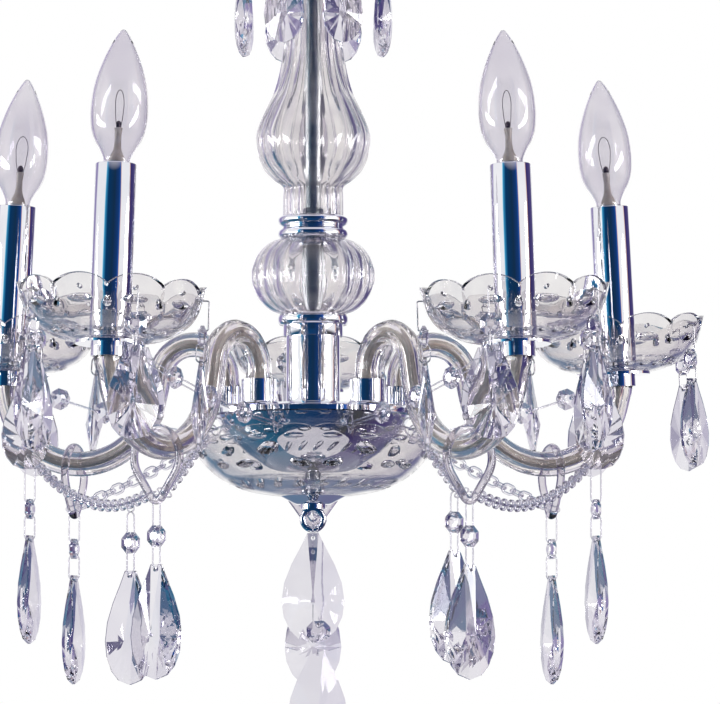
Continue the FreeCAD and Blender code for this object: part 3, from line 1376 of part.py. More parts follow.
def hook_hold(azimuth, side):
    """Where a chain's end ring holds an outer hook beside the arm, and the hook wire's direction."""
    low = outer_hook()[1]
    outwards = (low - BEND_CENTRE).normalize()
    radius = S.arm_tube_radius + S.running_gap + S.outer_hook_wire_radius + S.outer_hook_slack / 2
    angle = math.radians(S.hook_ring_angle)
    spot = low - outwards * radius + (outwards * math.cos(angle) + V(0, side * math.sin(angle), 0)) * radius
    along = outwards * -math.sin(angle) + V(0, side * math.cos(angle), 0)
    return arm_frame(azimuth).multVec(spot), FreeCAD.Rotation(UP, azimuth).multVec(along)


def under_link(laid, slide):
    """Centre of the lower wire of the upright link that lies a distance along a chain, and its run."""
    start = laid[0][1]
    upright = [item for item in laid[1:-1] if abs(item[3].z) < 0.5]
    shape, centre, along, side = min(upright, key=lambda item: abs((item[1] - start).Length - slide))
    down = along.cross(side)
    if down.z > 0:
        down = -down
    return centre + down * (S.link_width / 2 - S.link_wire_radius), along


def garlands():
    """Beaded garlands from each end cap to the dish, and oval chains from the wishbones to the dish
    and from the front arms to the side arms. Returns the holds of the strings that hang on a chain."""
    pieces = []
    front_left, front_right, side_right, rear, side_left = arm_azimuths()
    hole_step = 360 / S.dish_hole_count
    wire = S.garland_ring_wire_radius
    for azimuth in arm_azimuths():
        eyelet = head_frame(azimuth).multVec(eyelet_centre(azimuth) - UP * S.eyelet_radius)
        ring, spot = dish_ring(azimuth + garland_side(azimuth) * hole_step)
        pieces += [ring] + [item[0] for item in bead_garland(eyelet, spot)]
    to_dish = {}
    for azimuth in arm_azimuths():
        leg = garland_side(azimuth)
        start, along = leg_hold(azimuth, leg, S.leg_ring_low)
        ring, spot = dish_ring(azimuth - leg * hole_step)
        laid = oval_chain(start, spot, (S.wishbone_wire_radius, wire), along, UP)
        pieces += [ring] + [item[0] for item in laid]
        to_dish[azimuth] = laid
    to_side = {}
    for azimuth, side_azimuth, side in ((front_left, side_left, 1), (front_right, side_right, -1)):
        start, along = leg_hold(azimuth, -side, S.leg_ring_low)
        spot, hook_along = hook_hold(side_azimuth, side)
        radii = (S.wishbone_wire_radius, S.outer_hook_wire_radius)
        laid = oval_chain(start, spot, radii, along, hook_along, S.side_chain_slack)
        pieces += [item[0] for item in laid]
        to_side[azimuth] = laid
    feature("garlands", pieces)
    return {
        1: under_link(to_side[front_left], S.left_string_slide),
        2: under_link(to_dish[front_right], S.right_string_slide),
    }


def write_parts():
    """Check every object and write one file for each piece."""
    doc.recompute()
    for item in doc.Objects:
        broken = [word for word in item.State if word in ("Invalid", "Error")]
        if broken:
            raise RuntimeError("%s: %s" % (item.Label, item.State))
    os.makedirs("parts", exist_ok=True)
    for item in EXPORTED:
        shape = item.Shape
        if shape.isNull() or not shape.isValid() or not shape.Solids:
            raise RuntimeError("%s has no valid shape" % item.Label)
        shape.exportStep("parts/%s.step" % item.Label)
        print("%-20s %4d solids %12.1f mm3" % (item.Label, len(shape.Solids), shape.Volume))


ceiling_fitting()
hanging_chain()
column()
glass_column_pieces()
hub()
arms()
candle_heads()
rim_strings()
garland_holds = garlands()
hangers(garland_holds)
centre_string()
write_parts()
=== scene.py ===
import bpy
import bmesh
import json
import math
from mathutils import Matrix, Vector


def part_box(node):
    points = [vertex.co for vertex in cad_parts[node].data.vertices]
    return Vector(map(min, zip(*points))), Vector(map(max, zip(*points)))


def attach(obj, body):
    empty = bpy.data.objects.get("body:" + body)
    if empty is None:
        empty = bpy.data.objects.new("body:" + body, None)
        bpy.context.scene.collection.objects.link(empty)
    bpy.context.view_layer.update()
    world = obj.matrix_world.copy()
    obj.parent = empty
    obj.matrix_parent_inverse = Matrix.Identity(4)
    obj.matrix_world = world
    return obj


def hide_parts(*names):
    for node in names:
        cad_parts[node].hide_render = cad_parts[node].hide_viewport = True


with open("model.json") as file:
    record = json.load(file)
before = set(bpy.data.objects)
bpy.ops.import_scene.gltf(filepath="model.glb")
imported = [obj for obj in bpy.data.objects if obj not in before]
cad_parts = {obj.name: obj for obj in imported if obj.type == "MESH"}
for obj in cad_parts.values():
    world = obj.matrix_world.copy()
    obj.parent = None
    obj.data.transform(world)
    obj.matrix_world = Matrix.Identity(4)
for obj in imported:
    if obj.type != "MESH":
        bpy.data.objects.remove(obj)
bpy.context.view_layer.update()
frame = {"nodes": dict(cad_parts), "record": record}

# Five-arm crystal chandelier. Work is in metres; outlines are written in millimetres.
MM = 0.001
FULL_TURN = 2 * math.pi
NODES = frame["nodes"]
BODY_OF = {node: body for body, nodes in frame["record"]["behaviour"]["bodies"].items() for node in nodes}
SLOT_OF = {part["node"]: part["material_slot"] for part in frame["record"]["subparts"]}

ARMS = 5
FIRST_ARM = 234
HUB_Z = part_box("hub_plate")[1].z


# --- modelling helpers -----------------------------------------------------------------------

def deselect():
    """Leave edit mode and select nothing."""
    if bpy.context.object and bpy.context.object.mode != "OBJECT":
        bpy.ops.object.mode_set(mode="OBJECT")
    bpy.ops.object.select_all(action="DESELECT")


def work_on(piece):
    """Make one piece the only one selected."""
    deselect()
    piece.select_set(True)
    bpy.context.view_layer.objects.active = piece


def named(name):
    """Name the piece just added, and its mesh."""
    piece = bpy.context.object
    piece.name = name
    piece.data.name = name
    return piece


def pick(piece, test):
    """In edit mode, select the vertices whose place passes a test."""
    mesh = bmesh.from_edit_mesh(piece.data)
    mesh.select_mode = {"VERT"}
    for vertex in mesh.verts:
        vertex.select_set(test(vertex.co))
    mesh.select_flush_mode()
    bmesh.update_edit_mesh(piece.data)


def smooth(piece, degrees=35):
    """Smooth shading that keeps edges sharper than an angle."""
    work_on(piece)
    bpy.ops.object.shade_smooth_by_angle(angle=math.radians(degrees))
    return piece


def through(points, per=6):
    """Points on a smooth curve through a run of outline points."""
    result = []
    count = len(points)
    for index in range(count - 1):
        before = points[max(index - 1, 0)]
        start, end = points[index], points[index + 1]
        after = points[min(index + 2, count - 1)]
        for step in range(per):
            t = step / per
            result.append(tuple(
                0.5 * (2 * b + (c - a) * t + (2 * a - 5 * b + 4 * c - d) * t * t
                       + (3 * b - a - 3 * c + d) * t ** 3)
                for a, b, c, d in zip(before, start, end, after)))
    result.append(tuple(points[-1]))
    return result


def lathe(name, profile, steps=96, height=0.0):
    """Turn an outline about the Z axis. The outline is (radius, height) in millimetres; height in
    metres lifts the whole piece."""
    deselect()
    bpy.ops.mesh.primitive_plane_add(size=MM)
    piece = named(name)
    bpy.ops.object.mode_set(mode="EDIT")
    bpy.ops.mesh.merge(type="CENTER")
    radius, level = profile[0]
    bpy.ops.transform.translate(value=(radius * MM, 0, height + level * MM))
    for next_radius, next_level in profile[1:]:
        step = ((next_radius - radius) * MM, 0, (next_level - level) * MM)
        bpy.ops.mesh.extrude_vertices_move(TRANSFORM_OT_translate={"value": step})
        radius, level = next_radius, next_level
    bpy.ops.mesh.select_all(action="SELECT")
    bpy.ops.mesh.spin(steps=steps, angle=FULL_TURN, center=(0, 0, 0), axis=(0, 0, 1))
    bpy.ops.mesh.select_all(action="SELECT")
    bpy.ops.mesh.remove_doubles(threshold=0.01 * MM)
    bpy.ops.mesh.normals_make_consistent(inside=False)
    bpy.ops.object.mode_set(mode="OBJECT")
    return smooth(piece)


def ribs(piece, count, depth):
    """Press vertical ribs into a turned piece: rounded crests with sharp valleys between them.
    depth is a share of the radius. The piece has eight columns to a rib."""
    work_on(piece)
    bpy.ops.object.mode_set(mode="EDIT")
    for column in range(4):
        share = 1 - depth * (1 - math.sin(math.pi * column / 8))

        def in_column(co):
            turn = math.degrees(math.atan2(co.y, co.x)) * count / 360 % 1
            return min(abs(turn - column / 8), abs(1 - turn - column / 8), abs(turn - 1 + column / 8)) < 0.03

        pick(piece, in_column)
        bpy.ops.transform.resize(value=(share, share, 1), center_override=(0, 0, 0))
    bpy.ops.mesh.select_all(action="SELECT")
    bpy.ops.mesh.normals_make_consistent(inside=False)
    bpy.ops.object.mode_set(mode="OBJECT")
    return piece


def lobes(piece, count, columns, depth, start, rim):
    """Lower a turned rim between round lobes. columns is the number of mesh columns to a lobe, start
    and rim the heights in metres between which the wall stretches."""
    work_on(piece)
    bpy.ops.object.mode_set(mode="EDIT")
    for column in range(1, columns // 2 + 1):
        share = column / (columns / 2)
        fall = depth * (1 - math.sqrt(1 - (share * 0.8) ** 2)) / 0.4

        def in_column(co):
            turn = (math.degrees(math.atan2(co.y, co.x)) * count / 360 + 0.5) % 1
            return co.z > start and min(abs(turn - share / 2), abs(1 - turn - share / 2)) < 0.3 / columns

        pick(piece, in_column)
        factor = 1 - fall * MM / (rim - start)
        bpy.ops.transform.resize(value=(1, 1, factor), center_override=(0, 0, start))
    bpy.ops.object.mode_set(mode="OBJECT")
    return piece


def turned_out(place, piece):
    """Move a piece's own mesh by a matrix."""
    piece.data.transform(place)
    piece.data.update()
    return piece


def cutter(size, place):
    """A long rounded cutting wheel's track: a stretched ball, size in millimetres."""
    deselect()
    bpy.ops.mesh.primitive_uv_sphere_add(segments=20, ring_count=10, radius=MM)
    ball = bpy.context.object
    return turned_out(place @ Matrix.Diagonal((*size, 1)), ball)


def grind(piece, cutters):
    """Cut rounded hollows into a piece with all the given cutters at once."""
    deselect()
    for item in cutters:
        item.select_set(True)
    bpy.context.view_layer.objects.active = cutters[0]
    bpy.ops.object.join()
    tool = bpy.context.object
    work_on(piece)
    change = piece.modifiers.new("cuts", "BOOLEAN")
    change.operation = "DIFFERENCE"
    change.solver = "EXACT"
    change.object = tool
    bpy.ops.object.modifier_apply(modifier="cuts")
    bpy.data.objects.remove(tool)
    return smooth(piece, 28)


def on_wall(azimuth, radius, height, tilt, lean):
    """Place on a bowl's outside: X along the cut, Z out of the wall. radius and height in metres."""
    turn = Matrix.Rotation(math.radians(azimuth), 4, "Z")
    face = Matrix.Rotation(math.radians(90 + lean), 4, "Y")
    return turn @ Matrix.Translation((radius, 0, height)) @ face @ Matrix.Rotation(math.radians(tilt), 4, "Z")


def rod(name, points, radius, sides=12, closed=False, widths=None, section=None):
    """Bend a round rod along a line of points."""
    deselect()
    line = bpy.data.curves.new(name, "CURVE")
    line.dimensions = "3D"
    line.use_fill_caps = closed is False
    line.bevel_resolution = sides // 4
    if section is None:
        line.bevel_depth = radius
    else:
        line.bevel_mode = "OBJECT"
        line.bevel_object = section
    run = line.splines.new("POLY")
    run.points.add(len(points) - 1)
    for index, point in enumerate(points):
        run.points[index].co = (*point, 1)
        if widths:
            run.points[index].radius = widths[index]
    run.use_cyclic_u = bool(closed)
    piece = bpy.data.objects.new(name, line)
    bpy.context.collection.objects.link(piece)
    work_on(piece)
    bpy.ops.object.convert(target="MESH")
    piece = named(name)
    bpy.ops.object.mode_set(mode="EDIT")
    bpy.ops.mesh.select_all(action="SELECT")
    bpy.ops.mesh.remove_doubles(threshold=0.001 * MM)
    bpy.ops.mesh.normals_make_consistent(inside=False)
    bpy.ops.object.mode_set(mode="OBJECT")
    return smooth(piece, 50)


def copy_of(piece, name, place):
    """Copy of a piece with its own mesh, moved by a matrix."""
    twin = bpy.data.objects.new(name, piece.data.copy())
    twin.data.name = name
    bpy.context.collection.objects.link(twin)
    return turned_out(place, twin)


def refined(node, degrees=30):
    """Smooth-shaded copy of a CAD node that takes its place."""
    piece = bpy.data.objects.new(node + "_surface", NODES[node].data.copy())
    bpy.context.collection.objects.link(piece)
    work_on(piece)
    bpy.ops.mesh.customdata_custom_splitnormals_clear()
    bpy.ops.object.mode_set(mode="EDIT")
    bpy.ops.mesh.select_all(action="SELECT")
    bpy.ops.mesh.remove_doubles(threshold=0.002 * MM)
    bpy.ops.object.mode_set(mode="OBJECT")
    smooth(piece, degrees)
    return finish(piece, FINISH[SLOT_OF[node]], node)


def finish(piece, material, *nodes, body=None):
    """Give a piece its material, and let it stand for CAD nodes or ride on a body."""
    piece.data.materials.clear()
    piece.data.materials.append(material)
    if nodes:
        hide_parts(*nodes)
    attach(piece, body or BODY_OF[nodes[0]])
    return piece


# --- materials ---------------------------------------------------------------------------------

def colour(text):
    """sRGB hex colour as linear RGBA."""
    channels = [int(text[i:i + 2], 16) / 255 for i in (1, 3, 5)]
    return [c / 12.92 if c <= 0.04045 else ((c + 0.055) / 1.055) ** 2.4 for c in channels] + [1.0]


def add(tree, kind, settings=None, **inputs):
    """Add a node. settings are its properties; inputs are values, or sockets to link."""
    node = tree.nodes.new("ShaderNode" + kind)
    for key, value in (settings or {}).items():
        setattr(node, key, value)
    for key, value in inputs.items():
        by_number = key[0] == "n" and key[1:].isdigit()
        socket = node.inputs[int(key[1:])] if by_number else node.inputs[key.replace("_", " ")]
        if isinstance(value, bpy.types.NodeSocket):
            tree.links.new(value, socket)
        else:
            socket.default_value = value
    return node


def new_material(name):
    """Empty node material with its tree, its surface shader, and the object coordinates."""
    material = bpy.data.materials.new(name)
    material.use_nodes = True
    tree = material.node_tree
    shader = tree.nodes["Principled BSDF"]
    place = add(tree, "TexCoord").outputs["Object"]
    return material, tree, shader, place


def ramp(tree, factor, stops, interpolation="LINEAR"):
    """Colour ramp over a factor; stops are (position, hex colour)."""
    node = add(tree, "ValToRGB", Fac=factor)
    node.color_ramp.interpolation = interpolation
    while len(node.color_ramp.elements) < len(stops):
        node.color_ramp.elements.new(0.5)
    for element, (position, text) in zip(node.color_ramp.elements, stops):
        element.position = position
        element.color = colour(text)
    return node.outputs["Color"]


def grey_range(tree, factor, low, high):
    """Map a 0 to 1 factor to a range of values."""
    return add(tree, "MapRange", n0=factor, n3=low, n4=high).outputs["Result"]


def metal(name, low, high, rough, cell, wave=0.0):
    """Plated or drawn metal: two close colours in soft clouds, roughness that varies with them."""
    material, tree, shader, place = new_material(name)
    clouds = add(tree, "TexNoise", Vector=place, Scale=1 / (cell * MM), Detail=4.0).outputs["Fac"]
    tree.links.new(ramp(tree, clouds, [(0.3, low), (0.7, high)]), shader.inputs["Base Color"])
    tree.links.new(grey_range(tree, clouds, *rough), shader.inputs["Roughness"])
    shader.inputs["Metallic"].default_value = 1.0
    if wave:
        bump = add(tree, "Bump", Height=clouds, Strength=wave, Distance=0.05 * MM)
        tree.links.new(bump.outputs["Normal"], shader.inputs["Normal"])
    return material


def clear(name, low, high, ior, rough, cell, wave=0.0, depth=0.1):
    """Clear glass or plastic: faint tint clouds, and a slow waviness from pressing or blowing."""
    material, tree, shader, place = new_material(name)
    clouds = add(tree, "TexNoise", Vector=place, Scale=1 / (cell * MM), Detail=2.0).outputs["Fac"]
    tree.links.new(ramp(tree, clouds, [(0.35, low), (0.65, high)]), shader.inputs["Base Color"])
    shader.inputs["Transmission Weight"].default_value = 1.0
    shader.inputs["IOR"].default_value = ior
    shader.inputs["Roughness"].default_value = rough
    if wave:
        bump = add(tree, "Bump", Height=clouds, Strength=wave, Distance=depth * MM)
        tree.links.new(bump.outputs["Normal"], shader.inputs["Normal"])
    return material


# Bright chrome plate on buffed steel: a near-white mirror with the faintest cloudiness.
chrome = metal("chrome_plate_buffed", "#E2E3EA", "#EEEEF3", (0.02, 0.06), 30)
# Zinc plate on rolled steel: grey, softly mottled.
zinc = metal("zinc_plate_rolled", "#A4A7AB", "#BFC1C4", (0.28, 0.42), 6, 0.3)
# Drawn steel wire, nickel washed: bright with fine drawing marks.
wire = metal("steel_wire_drawn", "#B9B6B8", "#D6D3D6", (0.16, 0.3), 2)
# Lead crystal, cut and polished: clear, strongly refracting, flat facets.
crystal = clear("lead_crystal_cut_polished", "#E3E0E8", "#EFEDF1", 1.56, 0.0, 40)
# Soda-lime glass, pressed: clear with a warm grey cast and slightly wavy skin.
pressed = clear("soda_lime_glass_pressed", "#ECE9EA", "#F4F2F1", 1.52, 0.0, 9, 0.25)
# Soda-lime tube, drawn and bent by hand: streaks of the draw make its core look brownish.
tube_glass = clear("soda_lime_tube_bent", "#F4F0ED", "#FAF8F6", 1.52, 0.0, 7, 0.3)
# Thin blown bulb glass.
bulb_glass = clear("bulb_glass_blown", "#E9E6EC", "#F1EFF2", 1.46, 0.0, 30)
# Acrylic, moulded: clear, a little softer than glass.
acrylic = clear("acrylic_moulded", "#D6D1D8", "#E2DEE3", 1.49, 0.04, 12)


def plain(name, low, high, rough, cell, wave):
    """Moulded plastic or glazed ceramic: two close tones in fine grain."""
    material, tree, shader, place = new_material(name)
    grain = add(tree, "TexNoise", Vector=place, Scale=1 / (cell * MM), Detail=5.0).outputs["Fac"]
    tree.links.new(ramp(tree, grain, [(0.35, low), (0.65, high)]), shader.inputs["Base Color"])
    tree.links.new(grey_range(tree, grain, *rough), shader.inputs["Roughness"])
    bump = add(tree, "Bump", Height=grain, Strength=wave, Distance=0.1 * MM)
    tree.links.new(bump.outputs["Normal"], shader.inputs["Normal"])
    return material


# PVC wire cover, extruded: clear beige gone slightly brown, faintly glossy.
insulation = plain("pvc_insulation_extruded", "#E9DDD2", "#F6EEE6", (0.35, 0.5), 3, 0.2)
# Phenolic lamp holder, moulded: black with a fine grain.
phenolic = plain("phenolic_moulded", "#17171A", "#232328", (0.35, 0.5), 1.5, 0.3)
# Pinched glass stem inside the bulb: milky beige.
stem_glass = plain("stem_glass_pinched", "#E6D8C4", "#F2E9DC", (0.15, 0.3), 3, 0.2)
# Filament mount: oxidised tungsten, nearly black.
tungsten = metal("tungsten_oxidised", "#4A4046", "#6E636A", (0.35, 0.5), 2)

FINISH = {
    "polished_chrome": chrome, "zinc_steel": zinc, "pin_wire": wire, "cut_glass": pressed,
    "clear_crystal": crystal, "bulb_glass": bulb_glass, "clear_plastic": acrylic,
    "lamp_wire": insulation, "holder_plastic": phenolic,
}
for node, cad in NODES.items():
    cad.data.materials.clear()
    cad.data.materials.append(FINISH[SLOT_OF[node]])


# --- places ------------------------------------------------------------------------------------

# Sizes of the arm's centreline, in millimetres and degrees.
ARCH_CENTRE = (81, 0, 20)
ARCH_RADIUS = 23
ARCH_SLANT = 12
ARM_REACH = 209
ARM_DIP = 32.5
ARM_RISE = 4.6
HEAD_LEAN = 3


def arm_line():
    """Corners of an arm's centreline in its own upright plane, in millimetres above the hub plate:
    up out of the cup, over the arch, down the slant, round the U and up into the end cap."""
    slant, lean = math.radians(ARCH_SLANT), math.radians(HEAD_LEAN)
    out, rise = math.cos(slant), math.sin(slant)
    arch = Vector(ARCH_CENTRE)
    across = ARM_REACH - arch.x - ARCH_RADIUS * out
    down = -ARM_DIP - arch.z - ARCH_RADIUS * rise
    scale = rise - out - 1
    run = (across * (1 - rise) + down * (1 + out)) / scale
    bend = (-down * rise - across * out) / scale
    arch_end = arch + Vector((out, 0, rise)) * ARCH_RADIUS
    bend_start = arch_end + Vector((rise, 0, -out)) * run
    centre = bend_start + Vector((out, 0, rise)) * bend
    bend_end = centre + Vector((math.cos(lean), 0, math.sin(lean))) * bend
    top = bend_end + Vector((-math.sin(lean), 0, math.cos(lean))) * ARM_RISE
    return arch, centre, bend, bend_start, bend_end, top


ARCH, BEND_CENTRE, BEND, BEND_START, BEND_END, ARM_TOP = arm_line()


def arm_place(number):
    """Matrix from an arm's own plane to its place on the hub. Arm 1 is the front left one."""
    turn = Matrix.Rotation(math.radians(FIRST_ARM + 72 * (number - 1)), 4, "Z")
    return Matrix.Translation((0, 0, HUB_Z)) @ turn


def head_place(number):
    """Matrix from a leaning candle's own frame to its place on top of an arm."""
    lean = Matrix.Rotation(math.radians(-HEAD_LEAN), 4, "Y")
    foot = (ARM_TOP + lean.to_3x3() @ Vector((0, 0, 1.6))) * MM
    return arm_place(number) @ Matrix.Translation(foot) @ lean


# --- column --------------------------------------------------------------------------------------

for node in ("ceiling_canopy", "canopy_loop", "hanging_chain", "top_loop", "center_rod", "rod_nuts", "top_cap",
             "hub_plate", "bottom_cap", "finial_ring", "arm_end_caps", "arm_hooks", "stem_nut"):
    refined(node)


def collar(name, node, profile):
    """Turned chrome piece that sits where its CAD node does."""
    piece = lathe(name, profile, 96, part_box(node)[0].z)
    return finish(piece, chrome, node)


collar("column_tube", "hub_column",
       [(15.8, 0), (21, 0)] + through([(21, 0), (18.9, 1.3), (17.5, 4), (17.25, 7)], 4)[1:]
       + [(17.25, 53.3), (15.8, 53.3), (15.8, 0)])
collar("waist_ring", "lower_collar",
       [(5.1, 7.3), (17.4, 7.3), (17.4, 0), (19, 0), (19.2, 0.3), (19.2, 7), (20.5, 7.2), (21.3, 7.4)]
       + through([(21.3, 7.4), (22.3, 9), (22.5, 10.8), (22.3, 12.6), (21.2, 14.2)], 4)[1:]
       + [(5.1, 14.3), (5.1, 7.3)])
collar("double_ring", "upper_collar", [(5.1, 0), (20.8, 0)]
       + through([(20.8, 0), (22.2, 1.4), (22.4, 3), (21.8, 4.8), (20.4, 6)], 4)[1:]
       + through([(20.4, 6), (19.5, 7), (20.4, 8)], 4)[1:]
       + through([(20.4, 8), (21.8, 9.2), (22.4, 11), (22.2, 12.6), (20.8, 14)], 4)[1:] + [(5.1, 14), (5.1, 0)])

ball = lathe("ribbed_ball", [(7, 0.4)] + [(20, 0.2)]
             + through([(20, 0.2), (28, 3.2), (35, 10), (39, 19), (39.5, 24.3), (39, 29.6), (35, 38.6),
                        (28, 45.4), (20, 48.4)], 4)[1:]
             + [(7, 48.2), (7, 45)] + through([(7, 45), (20, 42.5), (29, 35), (31.5, 24.3), (29, 13.6),
                                              (20, 6), (7, 3.4)], 4)[1:] + [(7, 0.4)],
             144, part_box("glass_ball")[0].z)
ribs(ball, 18, 0.055)
finish(ball, pressed, "glass_ball")

vase = lathe("ribbed_vase", [(15, 0.2), (19.4, 0.2), (19.5, 1)]
             + through([(19.5, 1), (19.4, 12), (19.7, 19.4), (27, 25), (34, 34), (37, 47), (36, 56), (30, 70),
                        (25.5, 80), (21.5, 95), (19, 113), (19.2, 130), (20.4, 143), (22.8, 162.6)], 4)[1:]
             + [(17.8, 162.6)]
             + through([(17.8, 162.6), (15.6, 143), (14.4, 130), (14, 113), (16.4, 95), (20.4, 80), (25, 70),
                        (31, 56), (32, 47), (29, 36), (22, 28), (15, 20), (14.8, 12), (15, 0.2)], 4)[1:],
             112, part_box("glass_vase")[0].z)
ribs(vase, 14, 0.06)
finish(vase, pressed, "glass_vase")


def bowl(name, outer, inner, steps, height, lobe_count, lobe_depth, stretch, rim):
    """Open glass bowl: outside and inside runs, rounded lip, lobed rim."""
    piece = lathe(name, outer + inner, steps, height)
    return lobes(piece, lobe_count, steps // lobe_count, lobe_depth, height + stretch * MM, height + rim * MM)


crown = bowl("crown_bowl",
             [(5.2, 0), (23.5, 0)] + through([(23.5, 0), (34, 3.2), (43, 9.5), (48, 16), (50, 22)], 4)[1:],
             [(48, 22.2), (46, 22)] + through([(46, 22), (43, 15), (36, 9), (29, 5.6), (23.5, 4)], 4)[1:]
             + [(5.2, 4), (5.2, 0)], 128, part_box("crown_dish")[0].z, 8, 4, 10, 22)
finish(crown, pressed, "crown_dish")

# Spun chrome bowl under the hub plate, which shows dark through the cut dish.
COVER = through([(62, -5.2), (56, -16), (47, -26), (35, -34.5), (20, -41), (5.4, -43.5)], 4)
LINER = through([(5.4, -42.5), (20, -40), (34.5, -33.6), (46, -25.3), (55, -15.6), (61, -5.2)], 4)
cover = lathe("hub_cover", COVER + LINER + [COVER[0]], 96, HUB_Z)
finish(cover, chrome, body=BODY_OF["hub_plate"])

DISH_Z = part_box("main_dish")[0].z
dish = bowl("hub_bowl",
            [(5.2, 0), (22, 0)]
            + through([(22, 0), (44, 4), (60, 12), (70, 21), (76, 30), (77.5, 41.6)], 5)[1:],
            [(75, 42), (72.5, 41.6)]
            + through([(72.5, 41.6), (71, 31), (64, 22), (54, 14), (40, 8.4), (22, 5)], 5)[1:]
            + [(5.2, 5), (5.2, 0)], 160, DISH_Z, 20, 2.5, 33, 42)
ovals = []
for index in range(21):
    azimuth = 246.3 + index * 360 / 21
    radius, rise, lean = (72.8, 26, -36) if index % 3 == 0 else (66.5, 17.5, -48)
    tilt = 35 if index % 2 else -35
    ovals.append(cutter((9.5, 5.6, 2.8), on_wall(azimuth, radius * MM, DISH_Z + rise * MM, tilt, lean)))
for index in range(20):
    azimuth = 9 + index * 18
    ovals.append(cutter((13, 2.6, 2.2), on_wall(azimuth, 48 * MM, DISH_Z + 0.0048, 28, -70)))
    ovals.append(cutter((7, 2.2, 1.8), on_wall(azimuth, 77.2 * MM, DISH_Z + 0.034, 90, -8)))
grind(dish, ovals)
finish(dish, pressed, "main_dish")


# --- arms ------------------------------------------------------------------------------------------

def arc(centre, radius, start, end, steps):
    """Points on an arc in the arm's plane; angles in degrees from the outward direction."""
    points = []
    for index in range(steps + 1):
        angle = math.radians(start + (end - start) * index / steps)
        points.append(Vector((centre.x + radius * math.cos(angle), 0, centre.z + radius * math.sin(angle))))
    return points


def straight(start, end, steps):
    """Points on a straight run, without its last point."""
    return [start.lerp(end, index / steps) for index in range(steps)]


foot = Vector((58, 0, 2.2))
shoulder = Vector((58, 0, 20))
over = arc(ARCH, ARCH_RADIUS, 180, ARCH_SLANT, 32)
line = straight(foot, shoulder, 8) + over[:-1] + straight(over[-1], BEND_START, 12)
line += arc(BEND_CENTRE, BEND, 180 + ARCH_SLANT, 360 + HEAD_LEAN, 44)[:-1]
line += straight(BEND_END, ARM_TOP - (ARM_TOP - BEND_END) * 0.04, 6)


def swell(point):
    """Width of the tube at a point: gathered thicker at both ends."""
    near = min((point - foot).length - 10, (point - ARM_TOP).length - 10)
    return 1 + 0.17 * max(0.0, min(1.0, 1 - near / 6))


def flute_section():
    """Round outline of the drawn tube, in shallow flutes."""
    outline = bpy.data.curves.new("tube_section", "CURVE")
    outline.dimensions = "2D"
    edge = outline.splines.new("POLY")
    edge.points.add(47)
    for index in range(48):
        angle = FULL_TURN * index / 48
        reach = (7.8 + 0.2 * math.cos(8 * angle)) * MM
        edge.points[index].co = (reach * math.cos(angle), reach * math.sin(angle), 0, 1)
    edge.use_cyclic_u = True
    section = bpy.data.objects.new("tube_section", outline)
    bpy.context.collection.objects.link(section)
    return section


def hollow(piece, wall):
    """Give an open skin a glass wall on its inside."""
    work_on(piece)
    change = piece.modifiers.new("wall", "SOLIDIFY")
    change.thickness = wall * MM
    change.offset = -1
    bpy.ops.object.modifier_apply(modifier="wall")
    return piece


section = flute_section()
tube = rod("tube_form", [point * MM for point in line], 0, closed=None, widths=[swell(point) for point in line],
           section=section)
hollow(tube, 4.8)
smooth(tube, 50)
for number in range(1, ARMS + 1):
    name = "glass_arm_%d" % number
    finish(copy_of(tube, "bent_tube_%d" % number, arm_place(number)), tube_glass, name)
for form in (tube, section):
    bpy.data.objects.remove(form)
refined("arm_cups", 40)


# --- candles ---------------------------------------------------------------------------------------

drip_form = bowl("drip_form",
                 [(5.2, 0), (22, 0)]
                 + through([(22, 0), (33, 2.6), (42, 7), (49, 12.6), (53, 19), (55.6, 27),
                            (57.5, 34.8)], 4)[1:],
                 [(55.6, 35), (53.6, 34.8)]
                 + through([(53.6, 34.8), (51.6, 27), (49, 20), (45.4, 14.6), (40, 10.4), (32, 6.6),
                            (22, 4)], 4)[1:]
                 + [(5.2, 4), (5.2, 0)], 160, 0, 10, 6.5, 19, 35)
leaves = []
for index in range(20):
    azimuth = 9 + index * 18
    leaves.append(cutter((11, 3.2, 2.1), on_wall(azimuth, 37 * MM, 0.0038, 0, -66)))
for index in range(10):
    azimuth = 18 + index * 36
    leaves.append(cutter((9, 4.4, 2.0), on_wall(azimuth, 53.6 * MM, 0.0185, 90, -16)))
    leaves.append(cutter((8, 2.6, 1.7), on_wall(azimuth + 18, 52.4 * MM, 0.0155, 0, -24)))
grind(drip_form, leaves)

holes = []
for index in range(10):
    deselect()
    bpy.ops.mesh.primitive_cylinder_add(vertices=16, radius=1.35 * MM, depth=12 * MM)
    turn = Matrix.Rotation(math.radians(18 + index * 36), 4, "Z")
    upright = Matrix.Translation((53.3 * MM, 0, 26.75 * MM)) @ Matrix.Rotation(math.radians(90), 4, "Y")
    holes.append(turned_out(turn @ upright, bpy.context.object))
grind(drip_form, holes)

sleeve_form = lathe("sleeve_form", [(11.7, 4.1), (12.2, 4), (12.5, 4.3), (12.5, 40), (12.5, 80), (12.5, 108.1),
                                    (12.3, 108.5), (11.7, 108.4), (11.7, 4.1)], 96)

